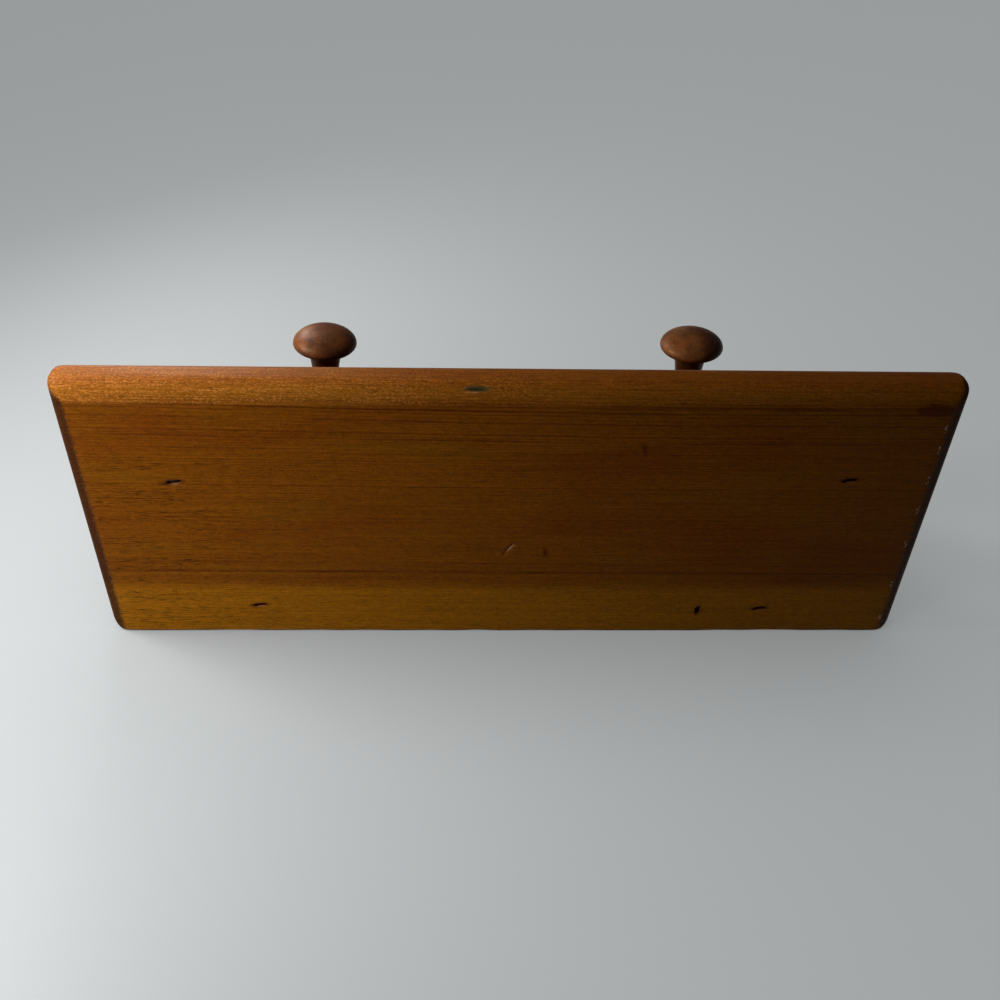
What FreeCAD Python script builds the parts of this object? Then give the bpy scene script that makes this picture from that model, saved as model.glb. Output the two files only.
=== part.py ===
import FreeCAD
import Part
import math
import os

# Shaker peg rail with a shelf. A back rail carries two turned mushroom pegs and stands
# between two coved brackets. A routed shelf board lies on all three. Staples and one
# finish nail hold the boards, and two keyhole plates in the rail's back hang it.
# Millimetres, +Z up, the front faces -Y. The origin lies on the wall's plane, midway
# between the pegs and level with their axes. Left and right are as seen from the front.

# Shelf board
SHELF_LENGTH = 330.0
SHELF_DEPTH = 122.0
SHELF_THICKNESS = 19.0
SHELF_ROUND_OVER = 7.9
SHELF_FRONT_CORNER = 2.9
SHELF_BACK_CORNER = 7.5
SHELF_END_OVERHANG = 28.3
SHELF_FRONT_OVERHANG = 27.0

# Back rail
RAIL_HEIGHT = 121.0
RAIL_THICKNESS = 19.0
RAIL_EASE = 1.5

# Brackets
BRACKET_THICKNESS = 19.0
BRACKET_LIP_HEIGHT = 14.0
BRACKET_FOOT_DEPTH = 27.0
BRACKET_FOOT_HEIGHT = 39.0
BRACKET_FOOT_CORNER = 8.0
BRACKET_EASE = 1.5
QUARTER_ROUND_SHARE = 0.5523

# Pegs: distances along a peg are counted from the rail's front face
PEG_FROM_RAIL_END = 36.2
PEG_DROP = 64.5
PEG_TENON_DIAMETER = 12.6
PEG_TENON_LENGTH = 15.5
PEG_TENON_CHAMFER = 0.8
PEG_SHOULDER_DIAMETER = 15.8
PEG_SWELL_DIAMETER = 16.6
PEG_SWELL_AT = 11.0
PEG_NECK_DIAMETER = 10.6
PEG_NECK_AT = 47.0
PEG_COLLAR_DIAMETER = 15.0
PEG_RIM_AT = 70.5
PEG_HEAD_DIAMETER = 27.0
PEG_DOME_HEIGHT = 6.0
PEG_UNDERSIDE_DEPTH = 3.3
PEG_SWELL_HANDLE_SHARE = 0.45
PEG_NECK_HANDLE_SHARE = 0.62
PEG_LEAN_DEGREES = {"left": 1.2, "right": 3.2}
PEG_HOLE_CLEARANCE = 0.05
PEG_HOLE_SPARE_DEPTH = 0.5

# Staples of flat wire
STAPLE_CROWN = 5.8
STAPLE_LEG = 28.0
STAPLE_WIRE_WIDTH = 1.3
STAPLE_WIRE_THICKNESS = 1.0
STAPLE_POINT = 1.6
STAPLE_SINK = 1.2
BRACKET_STAPLE_FROM_TOP = 26.0
BRACKET_STAPLE_FROM_BOTTOM = 22.0

# Staples through the shelf, set by hand: into a bracket, counted from the shelf's front edge
# and from the bracket's inner face, or into the rail, counted from its end and the wall
LEFT_BRACKET_STAPLE_FROM_FRONT = 40.2
LEFT_BRACKET_STAPLE_FROM_INSIDE = 10.3
RIGHT_BRACKET_STAPLE_FROM_FRONT = 42.3
RIGHT_BRACKET_STAPLE_FROM_INSIDE = 8.5
LEFT_RAIL_STAPLE_FROM_END = 12.4
LEFT_RAIL_STAPLE_FROM_WALL = 13.3
RIGHT_RAIL_STAPLE_FROM_END = 15.9
RIGHT_RAIL_STAPLE_FROM_WALL = 15.3
SHELF_STAPLE_TURN_DEGREES = 6.0

# Finish nail
NAIL_HEAD_LENGTH = 3.2
NAIL_HEAD_HEIGHT = 1.3
NAIL_WIDTH = 1.5
NAIL_THICKNESS = 1.4
NAIL_LENGTH = 31.0
NAIL_POINT = 2.4
NAIL_SINK = 1.4
NAIL_FROM_RAIL_END = 38.0
NAIL_FROM_WALL = 12.2
FASTENER_CLEARANCE = 0.05

# Keyhole plates
PLATE_FROM_RAIL_END = 27.7
PLATE_FROM_TOP = 29.0
PLATE_LENGTH = 44.0
PLATE_WIDTH = 16.0
PLATE_THICKNESS = 1.6
PLATE_ENTRY_DIAMETER = 9.0
PLATE_ENTRY_DROP = 4.5
PLATE_SLOT_WIDTH = 4.6
PLATE_SLOT_REACH = 12.2
PLATE_SCREW_FROM_END = 5.0
PLATE_HOLE_DIAMETER = 3.2
PLATE_CLEARANCE = 0.1
POCKET_DEPTH = 5.5
POCKET_MARGIN = 1.0

# Screws of the keyhole plates
SCREW_HEAD_DIAMETER = 5.6
SCREW_SHANK_DIAMETER = 2.9
SCREW_LENGTH = 12.0
SCREW_POINT = 3.0
SCREW_CROSS_WIDTH = 0.9
SCREW_CROSS_SPAN = 3.2
SCREW_CROSS_DEPTH = 0.9

# Cutting tools run past the wood by this much
OVERRUN = 2.0

# Sizes and places worked out from the ones above
RAIL_LENGTH = SHELF_LENGTH - 2 * (SHELF_END_OVERHANG + BRACKET_THICKNESS)
BRACKET_DEPTH = SHELF_DEPTH - SHELF_FRONT_OVERHANG
PEG_SPACING = RAIL_LENGTH - 2 * PEG_FROM_RAIL_END
PLATE_SPACING = RAIL_LENGTH - 2 * PLATE_FROM_RAIL_END
PLATE_SCREW_SPACING = PLATE_LENGTH - 2 * PLATE_SCREW_FROM_END
UNDERSIDE_Z = PEG_DROP
SHELF_TOP_Z = UNDERSIDE_Z + SHELF_THICKNESS
RAIL_BOTTOM_Z = UNDERSIDE_Z - RAIL_HEIGHT
RAIL_FRONT_Y = -RAIL_THICKNESS
BRACKET_MIDDLE_X = (RAIL_LENGTH + BRACKET_THICKNESS) / 2
BRACKET_OUTER_X = RAIL_LENGTH / 2 + BRACKET_THICKNESS
PLATE_MIDDLE_Z = UNDERSIDE_Z - PLATE_FROM_TOP
SIDES = {"left": -1, "right": 1}
ENDS = {"upper": 1, "lower": -1}

Vector = FreeCAD.Vector
X_AXIS = Vector(1, 0, 0)
Y_AXIS = Vector(0, 1, 0)
Z_AXIS = Vector(0, 0, 1)


def box_between(low, high):
    """A box from its lowest to its highest corner."""
    size = high - low
    return Part.makeBox(size.x, size.y, size.z, low)


def prism(edges, direction):
    """A solid from a closed outline, pushed along a vector."""
    return Part.Face(Part.Wire(edges)).extrude(direction)


def polygon(points, direction):
    """A solid from straight sides, pushed along a vector."""
    return Part.Face(Part.makePolygon([*points, points[0]])).extrude(direction)


def line(start, end):
    return Part.LineSegment(start, end).toShape()


def quarter_round(start, corner, end):
    """A quarter of an ellipse that leaves start and reaches end along the corner's sides."""
    curve = Part.BezierCurve()
    leave = start + (corner - start) * QUARTER_ROUND_SHARE
    reach = end + (corner - end) * QUARTER_ROUND_SHARE
    curve.setPoles([start, leave, reach, end])
    return curve.toShape()


def moved(shape, place, axis=Z_AXIS, degrees=0.0):
    """A copy of a shape, turned about the origin and then moved."""
    copy = shape.copy()
    copy.Placement = FreeCAD.Placement(place, FreeCAD.Rotation(axis, degrees))
    return copy


def rounded_outline(corners):
    """Closed edges through corners that each have a start, a sharp point and an end."""
    edges = []
    for here, following in zip(corners, corners[1:] + corners[:1]):
        if here[0] != here[2]:
            edges.append(quarter_round(*here))
        edges.append(line(here[2], following[0]))
    return edges


def rounded_slab(half_length, thickness, radius, rounded_ends, across):
    """A slab in the XZ plane, lying on Z = 0, round over at the ends that are named."""
    points = []
    for side in (1, -1):
        end = half_length * side
        if side in rounded_ends:
            inner = end - radius * side
            arcs = (
                ((inner, 0), (end, 0), (end, radius)),
                ((end, thickness - radius), (end, thickness), (inner, thickness)),
            )
        else:
            arcs = (((end, 0),) * 3, ((end, thickness),) * 3)
        points += arcs if side == 1 else [tuple(reversed(arc)) for arc in reversed(arcs)]
    corners = [[Vector(x, 0, z) for x, z in arc] for arc in points]
    return prism(rounded_outline(corners), Y_AXIS * across)


def staple():
    """A staple with its crown along X, its top on Z = 0 and its legs down."""
    half = STAPLE_CROWN / 2
    back = Vector(0, -STAPLE_WIRE_WIDTH / 2, 0)
    tip = -STAPLE_LEG
    shoulder = tip + STAPLE_POINT
    inner = half - STAPLE_WIRE_THICKNESS
    outline = [(-half, 0), (half, 0), (half, tip), (inner, shoulder)]
    outline += [(inner, -STAPLE_WIRE_THICKNESS), (-inner, -STAPLE_WIRE_THICKNESS)]
    outline += [(-inner, shoulder), (-half, tip)]
    points = [Vector(x, 0, z) + back for x, z in outline]
    return polygon(points, Y_AXIS * STAPLE_WIRE_WIDTH)


def staple_cut():
    """The slit and the leg holes that a staple leaves, as a cutting tool."""
    half = STAPLE_CROWN / 2 + FASTENER_CLEARANCE
    deep = STAPLE_WIRE_WIDTH / 2 + FASTENER_CLEARANCE
    slit_floor = -STAPLE_WIRE_THICKNESS - FASTENER_CLEARANCE
    slit_top = STAPLE_SINK + OVERRUN
    cut = box_between(Vector(-half, -deep, slit_floor), Vector(half, deep, slit_top))
    inner = STAPLE_CROWN / 2 - STAPLE_WIRE_THICKNESS - FASTENER_CLEARANCE
    leg_end = -STAPLE_LEG - FASTENER_CLEARANCE
    for low, high in ((-half, -inner), (inner, half)):
        cut = cut.fuse(box_between(Vector(low, -deep, leg_end), Vector(high, deep, 0)))
    return cut.removeSplitter()


def shelf_staple_place(side, from_rail_end, from_wall):
    """Where a staple goes down through the shelf, and its turn about Z."""
    beside = SIDES[side] * (RAIL_LENGTH / 2 - from_rail_end)
    place = Vector(beside, -from_wall, SHELF_TOP_Z - STAPLE_SINK)
    return place, Z_AXIS, SHELF_STAPLE_TURN_DEGREES


def bracket_staple_place(side, height):
    """Where a staple goes in through a bracket's outer face, and its turn about Y."""
    sign = SIDES[side]
    place = Vector(sign * (BRACKET_OUTER_X - STAPLE_SINK), RAIL_FRONT_Y / 2, height)
    return place, Y_AXIS, 90 * sign


def staple_places():
    """Each staple's node name, with the place of its crown and its turn."""
    left_depth = SHELF_DEPTH - LEFT_BRACKET_STAPLE_FROM_FRONT
    right_depth = SHELF_DEPTH - RIGHT_BRACKET_STAPLE_FROM_FRONT
    shelf_staples = {
        "bracket_left": ("left", -LEFT_BRACKET_STAPLE_FROM_INSIDE, left_depth),
        "bracket_right": ("right", -RIGHT_BRACKET_STAPLE_FROM_INSIDE, right_depth),
        "rail_left": ("left", LEFT_RAIL_STAPLE_FROM_END, LEFT_RAIL_STAPLE_FROM_WALL),
        "rail_right": ("right", RIGHT_RAIL_STAPLE_FROM_END, RIGHT_RAIL_STAPLE_FROM_WALL),
    }
    heights = {
        "upper": UNDERSIDE_Z - BRACKET_STAPLE_FROM_TOP,
        "lower": RAIL_BOTTOM_Z + BRACKET_STAPLE_FROM_BOTTOM,
    }
    places = {"shelf_staple_" + on: shelf_staple_place(*where) for on, where in shelf_staples.items()}
    for side in SIDES:
        for end, height in heights.items():
            places["bracket_staple_" + side + "_" + end] = bracket_staple_place(side, height)
    return places


def placed_at(tool, place):
    """A copy of a staple or its cutting tool at one of the staples' places."""
    return moved(tool, *place)


def nail_outline(grow, above, tip):
    """The finish nail's body: its flat head, then the wire, in the nail's own frame."""
    half_width = NAIL_WIDTH / 2 + grow
    half_head = NAIL_HEAD_LENGTH / 2 + grow
    half_wire = NAIL_THICKNESS / 2 + grow
    head_low = Vector(-half_width, -half_head, -NAIL_HEAD_HEIGHT - grow)
    head = box_between(head_low, Vector(half_width, half_head, above))
    wire_low = Vector(-half_width, -half_wire, tip)
    wire = box_between(wire_low, Vector(half_width, half_wire, -NAIL_HEAD_HEIGHT))
    return head.fuse(wire).removeSplitter()


def nail():
    """The finish nail, its head's top on Z = 0 and its length along Y."""
    shoulder = NAIL_POINT - NAIL_LENGTH
    body = nail_outline(0, 0, shoulder)
    half = NAIL_THICKNESS / 2
    corners = [(-half, shoulder), (half, shoulder), (0, -NAIL_LENGTH)]
    points = [Vector(-NAIL_WIDTH / 2, y, z) for y, z in corners]
    return body.fuse(polygon(points, X_AXIS * NAIL_WIDTH)).removeSplitter()


def nail_cut():
    return nail_outline(FASTENER_CLEARANCE, NAIL_SINK + OVERRUN, -NAIL_LENGTH - FASTENER_CLEARANCE)


def nail_place():
    beside = NAIL_FROM_RAIL_END - RAIL_LENGTH / 2
    return Vector(beside, -NAIL_FROM_WALL, SHELF_TOP_Z - NAIL_SINK)


def shelf_plan():
    """A block with the shelf's outline from above, its four upright corners softened."""
    half = SHELF_LENGTH / 2
    outline = (
        (Vector(-half, 0, UNDERSIDE_Z), SHELF_BACK_CORNER),
        (Vector(-half, -SHELF_DEPTH, UNDERSIDE_Z), SHELF_FRONT_CORNER),
        (Vector(half, -SHELF_DEPTH, UNDERSIDE_Z), SHELF_FRONT_CORNER),
        (Vector(half, 0, UNDERSIDE_Z), SHELF_BACK_CORNER),
    )
    corners = []
    for index, (corner, radius) in enumerate(outline):
        before = outline[index - 1][0]
        following = outline[(index + 1) % len(outline)][0]
        arrive = corner + (before - corner).normalize() * radius
        leave = corner + (following - corner).normalize() * radius
        corners.append((arrive, corner, leave))
    return prism(rounded_outline(corners), Z_AXIS * SHELF_THICKNESS)


def shelf_board():
    """The shelf: the shape that two round-over passes leave, less the fasteners' slits."""
    along = rounded_slab(SHELF_LENGTH / 2, SHELF_THICKNESS, SHELF_ROUND_OVER, (1, -1), SHELF_DEPTH)
    along = moved(along, Vector(0, -SHELF_DEPTH, UNDERSIDE_Z))
    deep = rounded_slab(SHELF_DEPTH / 2, SHELF_THICKNESS, SHELF_ROUND_OVER, (1,), SHELF_LENGTH)
    deep = moved(deep, Vector(-SHELF_LENGTH / 2, -SHELF_DEPTH / 2, UNDERSIDE_Z), Z_AXIS, -90)
    return cut_by_fasteners(along.common(deep).common(shelf_plan()))


def cut_by_fasteners(wood):
    """A board with every staple's and the nail's holes that reach it."""
    tools = [placed_at(staple_cut(), place) for place in staple_places().values()]
    tools.append(moved(nail_cut(), nail_place()))
    reaching = [tool for tool in tools if tool.BoundBox.intersect(wood.BoundBox)]
    return wood.cut(reaching)


def eased(shape, radius, chosen):
    """A shape with a small radius on the edges that a test picks."""
    return shape.makeFillet(radius, [edge for edge in shape.Edges if chosen(edge.BoundBox)])


def back_rail():
    """The rail: its board with a softened lower front edge, and all its holes."""
    half = RAIL_LENGTH / 2
    wood = box_between(Vector(-half, RAIL_FRONT_Y, RAIL_BOTTOM_Z), Vector(half, 0, UNDERSIDE_Z))
    middle_y = RAIL_FRONT_Y / 2
    middle_z = UNDERSIDE_Z - RAIL_HEIGHT / 2
    wood = eased(wood, RAIL_EASE, lambda box: box.YMax < middle_y and box.ZMax < middle_z)
    cuts = [peg_hole(side) for side in SIDES]
    cuts += [keyhole_recess(sign) for sign in SIDES.values()]
    return cut_by_fasteners(wood).cut(cuts)


def bracket(sign):
    """A bracket: a lip below the shelf, a cove, and a foot with a rounded corner."""
    lip_z = UNDERSIDE_Z - BRACKET_LIP_HEIGHT
    foot_z = RAIL_BOTTOM_Z + BRACKET_FOOT_HEIGHT
    x = sign * BRACKET_MIDDLE_X - BRACKET_THICKNESS / 2
    top_back = Vector(x, 0, UNDERSIDE_Z)
    top_front = Vector(x, -BRACKET_DEPTH, UNDERSIDE_Z)
    lip = Vector(x, -BRACKET_DEPTH, lip_z)
    cove_corner = Vector(x, -BRACKET_FOOT_DEPTH, lip_z)
    foot = Vector(x, -BRACKET_FOOT_DEPTH, foot_z)
    toe = Vector(x, -BRACKET_FOOT_DEPTH, RAIL_BOTTOM_Z)
    toe_start = toe + Z_AXIS * BRACKET_FOOT_CORNER
    toe_end = toe + Y_AXIS * BRACKET_FOOT_CORNER
    heel = Vector(x, 0, RAIL_BOTTOM_Z)
    edges = [line(top_back, top_front), line(top_front, lip)]
    edges += [quarter_round(lip, cove_corner, foot), line(foot, toe_start)]
    edges += [quarter_round(toe_start, toe, toe_end), line(toe_end, heel), line(heel, top_back)]
    wood = prism(edges, X_AXIS * BRACKET_THICKNESS)
    middle_y = -BRACKET_FOOT_DEPTH / 2

    def on_front_outline(box):
        flat = box.XLength < BRACKET_THICKNESS / 2
        below_shelf = box.ZMin < UNDERSIDE_Z - BRACKET_EASE
        return flat and below_shelf and box.YMin < middle_y

    return cut_by_fasteners(eased(wood, BRACKET_EASE, on_front_outline))


def peg_axis(side):
    """Where a peg's axis leaves the rail's front face, and its turn about Z."""
    sign = SIDES[side]
    return Vector(sign * PEG_SPACING / 2, RAIL_FRONT_Y, 0), -sign * PEG_LEAN_DEGREES[side]


def along_peg(distance, diameter):
    """A point of the peg's outline, out along -Y, at half of a diameter."""
    return Vector(diameter / 2, -distance, 0)


def turned(edges):
    """A solid turned about the Y axis from a closed half outline."""
    return Part.Face(Part.Wire(edges)).revolve(Vector(0, 0, 0), Y_AXIS, 360)


def tapered_curve(start, end, leave_share, reach_share):
    """A curve that leaves and reaches its ends along the peg's axis."""
    run = end.y - start.y
    curve = Part.BezierCurve()
    leave = start + Y_AXIS * run * leave_share
    reach = end - Y_AXIS * run * reach_share
    curve.setPoles([start, leave, reach, end])
    return curve.toShape()


def peg_shank():
    """The turned shank and mushroom head, from inside the rail's face outwards."""
    collar_share = PEG_COLLAR_DIAMETER / PEG_HEAD_DIAMETER
    collar_depth = PEG_UNDERSIDE_DEPTH * math.sqrt(1 - collar_share**2)
    root = along_peg(-OVERRUN, PEG_SHOULDER_DIAMETER)
    shoulder = along_peg(0, PEG_SHOULDER_DIAMETER)
    swell = along_peg(PEG_SWELL_AT, PEG_SWELL_DIAMETER)
    neck = along_peg(PEG_NECK_AT, PEG_NECK_DIAMETER)
    collar = along_peg(PEG_RIM_AT - collar_depth, PEG_COLLAR_DIAMETER)
    rim = along_peg(PEG_RIM_AT, PEG_HEAD_DIAMETER)
    crown = along_peg(PEG_RIM_AT + PEG_DOME_HEIGHT, 0)
    axis_start = along_peg(-OVERRUN, 0)
    edges = [line(axis_start, root), line(root, shoulder), quarter_swell(shoulder, swell)]
    edges.append(tapered_curve(swell, neck, PEG_SWELL_HANDLE_SHARE, PEG_SWELL_HANDLE_SHARE))
    edges.append(flare(neck, collar))
    edges.append(underside(collar, rim, collar_share))
    edges.append(quarter_round(rim, Vector(rim.x, crown.y, 0), crown))
    edges.append(line(crown, axis_start))
    return turned(edges)


def quarter_swell(shoulder, swell):
    """The shank's first stretch, which fills out gently from the shoulder."""
    middle = (shoulder + swell) / 2
    middle.x = swell.x
    curve = Part.BezierCurve()
    curve.setPoles([shoulder, middle, swell])
    return curve.toShape()


def flare(neck, collar):
    """The neck as it opens out into the collar under the head."""
    handle = Vector(neck.x, neck.y + (collar.y - neck.y) * PEG_NECK_HANDLE_SHARE, 0)
    curve = Part.BezierCurve()
    curve.setPoles([neck, handle, collar])
    return curve.toShape()


def underside(collar, rim, collar_share):
    """The elliptical underside of the head, from the collar out to the rim."""
    start_angle = math.acos(collar_share)
    middle_angle = start_angle / 2
    middle = Vector(rim.x * math.cos(middle_angle), 0, 0)
    middle.y = rim.y + PEG_UNDERSIDE_DEPTH * math.sin(middle_angle)
    return Part.Arc(collar, middle, rim).toShape()


def peg(side):
    """A peg: the shank, pared flat where it meets the rail, and its tenon."""
    face, degrees = peg_axis(side)
    shank = moved(peg_shank(), face, Z_AXIS, degrees)
    reach = PEG_SWELL_DIAMETER
    behind_low = face + Vector(-reach, 0, -reach)
    behind_high = face + Vector(reach, OVERRUN * 2, reach)
    shank = shank.cut(box_between(behind_low, behind_high))
    tenon_radius = PEG_TENON_DIAMETER / 2
    straight = PEG_TENON_LENGTH - PEG_TENON_CHAMFER
    tenon = Part.makeCylinder(tenon_radius, straight + OVERRUN, Y_AXIS * -OVERRUN, Y_AXIS)
    end_radius = tenon_radius - PEG_TENON_CHAMFER
    end = Part.makeCone(tenon_radius, end_radius, PEG_TENON_CHAMFER, Y_AXIS * straight, Y_AXIS)
    tenon = moved(tenon.fuse(end), face, Z_AXIS, degrees)
    return shank.fuse(tenon).removeSplitter()


def peg_hole(side):
    """The blind hole for a peg's tenon, as a cutting tool."""
    face, degrees = peg_axis(side)
    radius = PEG_TENON_DIAMETER / 2 + PEG_HOLE_CLEARANCE
    depth = PEG_TENON_LENGTH + PEG_HOLE_SPARE_DEPTH
    tool = Part.makeCylinder(radius, depth + OVERRUN, Y_AXIS * -OVERRUN, Y_AXIS)
    return moved(tool, face, Z_AXIS, degrees)


def upright_slot(width, low, high, near, far):
    """A round-ended slot that stands in the XZ plane, from Y = near to Y = far."""
    radius = width / 2
    body = box_between(Vector(-radius, near, low + radius), Vector(radius, far, high - radius))
    for z in (low + radius, high - radius):
        body = body.fuse(Part.makeCylinder(radius, far - near, Vector(0, near, z), Y_AXIS))
    return body.removeSplitter()


def plate_middle(sign):
    return Vector(sign * PLATE_SPACING / 2, 0, PLATE_MIDDLE_Z)


def keyhole_recess(sign):
    """The shallow bed of a keyhole plate, the pocket for the wall screw's head, and pilots."""
    width = PLATE_WIDTH + 2 * PLATE_CLEARANCE
    reach = PLATE_LENGTH / 2 + PLATE_CLEARANCE
    bed = upright_slot(width, -reach, reach, -PLATE_THICKNESS, OVERRUN)
    low = -PLATE_ENTRY_DROP - PLATE_ENTRY_DIAMETER / 2 - POCKET_MARGIN
    high = PLATE_SLOT_REACH - PLATE_ENTRY_DROP + POCKET_MARGIN
    pocket_width = PLATE_ENTRY_DIAMETER + 2 * POCKET_MARGIN
    pocket = upright_slot(pocket_width, low, high, -PLATE_THICKNESS - POCKET_DEPTH, 0)
    recess = bed.fuse(pocket)
    pilot_radius = SCREW_SHANK_DIAMETER / 2 + FASTENER_CLEARANCE
    pilot_depth = SCREW_LENGTH + FASTENER_CLEARANCE
    for direction in ENDS.values():
        mouth = Vector(0, 0, direction * PLATE_SCREW_SPACING / 2)
        recess = recess.fuse(Part.makeCylinder(pilot_radius, pilot_depth, mouth, -Y_AXIS))
    return moved(recess, plate_middle(sign))


def screw_cone(grow):
    """The countersunk head's cone, its wide end on Y = 0, down to the shank."""
    wide = SCREW_HEAD_DIAMETER / 2 + grow
    narrow = SCREW_SHANK_DIAMETER / 2 + grow
    return Part.makeCone(wide, narrow, wide - narrow, Vector(0, 0, 0), -Y_AXIS)


def keyhole_plate(sign):
    """A steel plate with a round entry, a slot above it and two countersunk holes."""
    reach = PLATE_LENGTH / 2
    plate = upright_slot(PLATE_WIDTH, -reach, reach, -PLATE_THICKNESS, 0)
    past = PLATE_THICKNESS + OVERRUN
    entry_middle = Vector(0, OVERRUN, -PLATE_ENTRY_DROP)
    entry_radius = PLATE_ENTRY_DIAMETER / 2
    cuts = [Part.makeCylinder(entry_radius, past + OVERRUN, entry_middle, -Y_AXIS)]
    slot_top = PLATE_SLOT_REACH - PLATE_ENTRY_DROP
    cuts.append(upright_slot(PLATE_SLOT_WIDTH, -PLATE_ENTRY_DROP, slot_top, -past, OVERRUN))
    for direction in ENDS.values():
        height = direction * PLATE_SCREW_SPACING / 2
        start = Vector(0, OVERRUN, height)
        cuts.append(Part.makeCylinder(PLATE_HOLE_DIAMETER / 2, past + OVERRUN, start, -Y_AXIS))
        cuts.append(moved(screw_cone(FASTENER_CLEARANCE), Vector(0, 0, height)))
    return moved(plate.cut(cuts), plate_middle(sign))


def plate_screw(sign, direction):
    """A countersunk wood screw with a cross recess and a pointed shank."""
    radius = SCREW_SHANK_DIAMETER / 2
    cone = screw_cone(0)
    straight = SCREW_LENGTH - SCREW_POINT
    shank = Part.makeCylinder(radius, straight, Vector(0, 0, 0), -Y_AXIS)
    point = Part.makeCone(radius, 0, SCREW_POINT, -Y_AXIS * straight, -Y_AXIS)
    screw = cone.fuse([shank, point])
    half_width = SCREW_CROSS_WIDTH / 2
    half_span = SCREW_CROSS_SPAN / 2
    for x, z in ((half_width, half_span), (half_span, half_width)):
        screw = screw.cut(box_between(Vector(-x, -SCREW_CROSS_DEPTH, -z), Vector(x, OVERRUN, z)))
    place = plate_middle(sign) + Z_AXIS * direction * PLATE_SCREW_SPACING / 2
    return moved(screw, place)


def all_nodes():
    """Every piece by its node's name."""
    nodes = {"shelf_board": shelf_board(), "back_rail": back_rail()}
    for side, sign in SIDES.items():
        nodes["bracket_" + side] = bracket(sign)
        nodes["peg_" + side] = peg(side)
        nodes["hanger_plate_" + side] = keyhole_plate(sign)
        for end, direction in ENDS.items():
            nodes["hanger_screw_" + side + "_" + end] = plate_screw(sign, direction)
    for name, place in staple_places().items():
        nodes[name] = placed_at(staple(), place)
    nodes["shelf_nail"] = moved(nail(), nail_place())
    return nodes


def main():
    os.makedirs("parts", exist_ok=True)
    for name, shape in all_nodes().items():
        solids = shape.Solids
        whole = solids[0] if len(solids) == 1 else Part.makeCompound(solids)
        print(f"{name}: {len(solids)} solid, valid {whole.isValid()}, {whole.Volume:.1f} mm3")
        whole.exportStep("parts/" + name + ".step")


main()
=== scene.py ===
"""Looks of a small shaker peg rail with a shelf, lying on its back on a pale sheet.

Lengths are millimetres in the part's frame until a mesh is finished, and colours are sRGB from
0 to 255. Left is -X and right is +X, as seen from the front, and the front faces -Y.
"""
import logging
import math
from dataclasses import dataclass
from enum import Enum
from typing import Callable, Iterable, Sequence, Union

import bmesh
import bpy
from mathutils import Matrix, Quaternion, Vector, noise


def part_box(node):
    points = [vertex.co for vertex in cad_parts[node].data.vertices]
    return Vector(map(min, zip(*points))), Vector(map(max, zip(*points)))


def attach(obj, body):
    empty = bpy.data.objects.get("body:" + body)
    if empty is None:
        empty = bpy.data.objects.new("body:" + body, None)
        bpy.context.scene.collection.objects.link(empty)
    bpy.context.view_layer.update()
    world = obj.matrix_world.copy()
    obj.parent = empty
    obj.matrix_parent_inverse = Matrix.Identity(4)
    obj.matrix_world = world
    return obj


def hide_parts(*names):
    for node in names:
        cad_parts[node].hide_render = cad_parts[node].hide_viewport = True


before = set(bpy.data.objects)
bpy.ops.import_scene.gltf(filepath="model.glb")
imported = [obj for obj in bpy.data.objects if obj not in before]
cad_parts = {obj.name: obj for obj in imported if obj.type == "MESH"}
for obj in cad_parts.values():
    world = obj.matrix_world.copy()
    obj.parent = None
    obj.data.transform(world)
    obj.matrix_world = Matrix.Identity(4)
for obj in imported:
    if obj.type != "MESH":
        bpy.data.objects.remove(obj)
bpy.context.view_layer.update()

LOG = logging.getLogger("peg_shelf")
METRES = 0.001
NEAR = 1e-3
SIDES = {"left": -1, "right": 1}
ENDS = {"upper": 1, "lower": -1}
X_AXIS = Vector((1, 0, 0))
Y_AXIS = Vector((0, 1, 0))
Z_AXIS = Vector((0, 0, 1))
AXES = (X_AXIS, Y_AXIS, Z_AXIS)

Colour = tuple[float, float, float]
Number = Union["Socket", float]


def linear(colour: Colour) -> tuple[float, float, float, float]:
    """Turns an sRGB colour into the linear one that shaders take.

    Args:
        colour: red, green and blue from 0 to 255.

    Returns:
        Linear red, green, blue, and an alpha of 1.
    """
    shares = [c / 255 for c in colour]
    bright = [c / 12.92 if c <= 0.04045 else ((c + 0.055) / 1.055) ** 2.4 for c in shares]
    return (bright[0], bright[1], bright[2], 1.0)


def cad_box(node: str) -> tuple[Vector, Vector]:
    """Gives a CAD node's lowest and highest corners in millimetres."""
    low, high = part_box(node)
    return low / METRES, high / METRES


# Shader maths


class Socket:
    """One output of a shader node, with Python's arithmetic as Math nodes."""

    def __init__(self, shader: "Shader", link: bpy.types.NodeSocket) -> None:
        """Keeps the shader that the node is in, and the node's output."""
        self.shader = shader
        self.link = link

    def __add__(self, other: Number) -> "Socket":
        """Adds."""
        return self.shader.math("ADD", self, other)

    __radd__ = __add__

    def __sub__(self, other: Number) -> "Socket":
        """Subtracts."""
        return self.shader.math("SUBTRACT", self, other)

    def __rsub__(self, other: Number) -> "Socket":
        """Subtracts this from a number."""
        return self.shader.math("SUBTRACT", other, self)

    def __mul__(self, other: Number) -> "Socket":
        """Multiplies."""
        return self.shader.math("MULTIPLY", self, other)

    __rmul__ = __mul__

    def __truediv__(self, other: Number) -> "Socket":
        """Divides."""
        return self.shader.math("DIVIDE", self, other)


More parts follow.
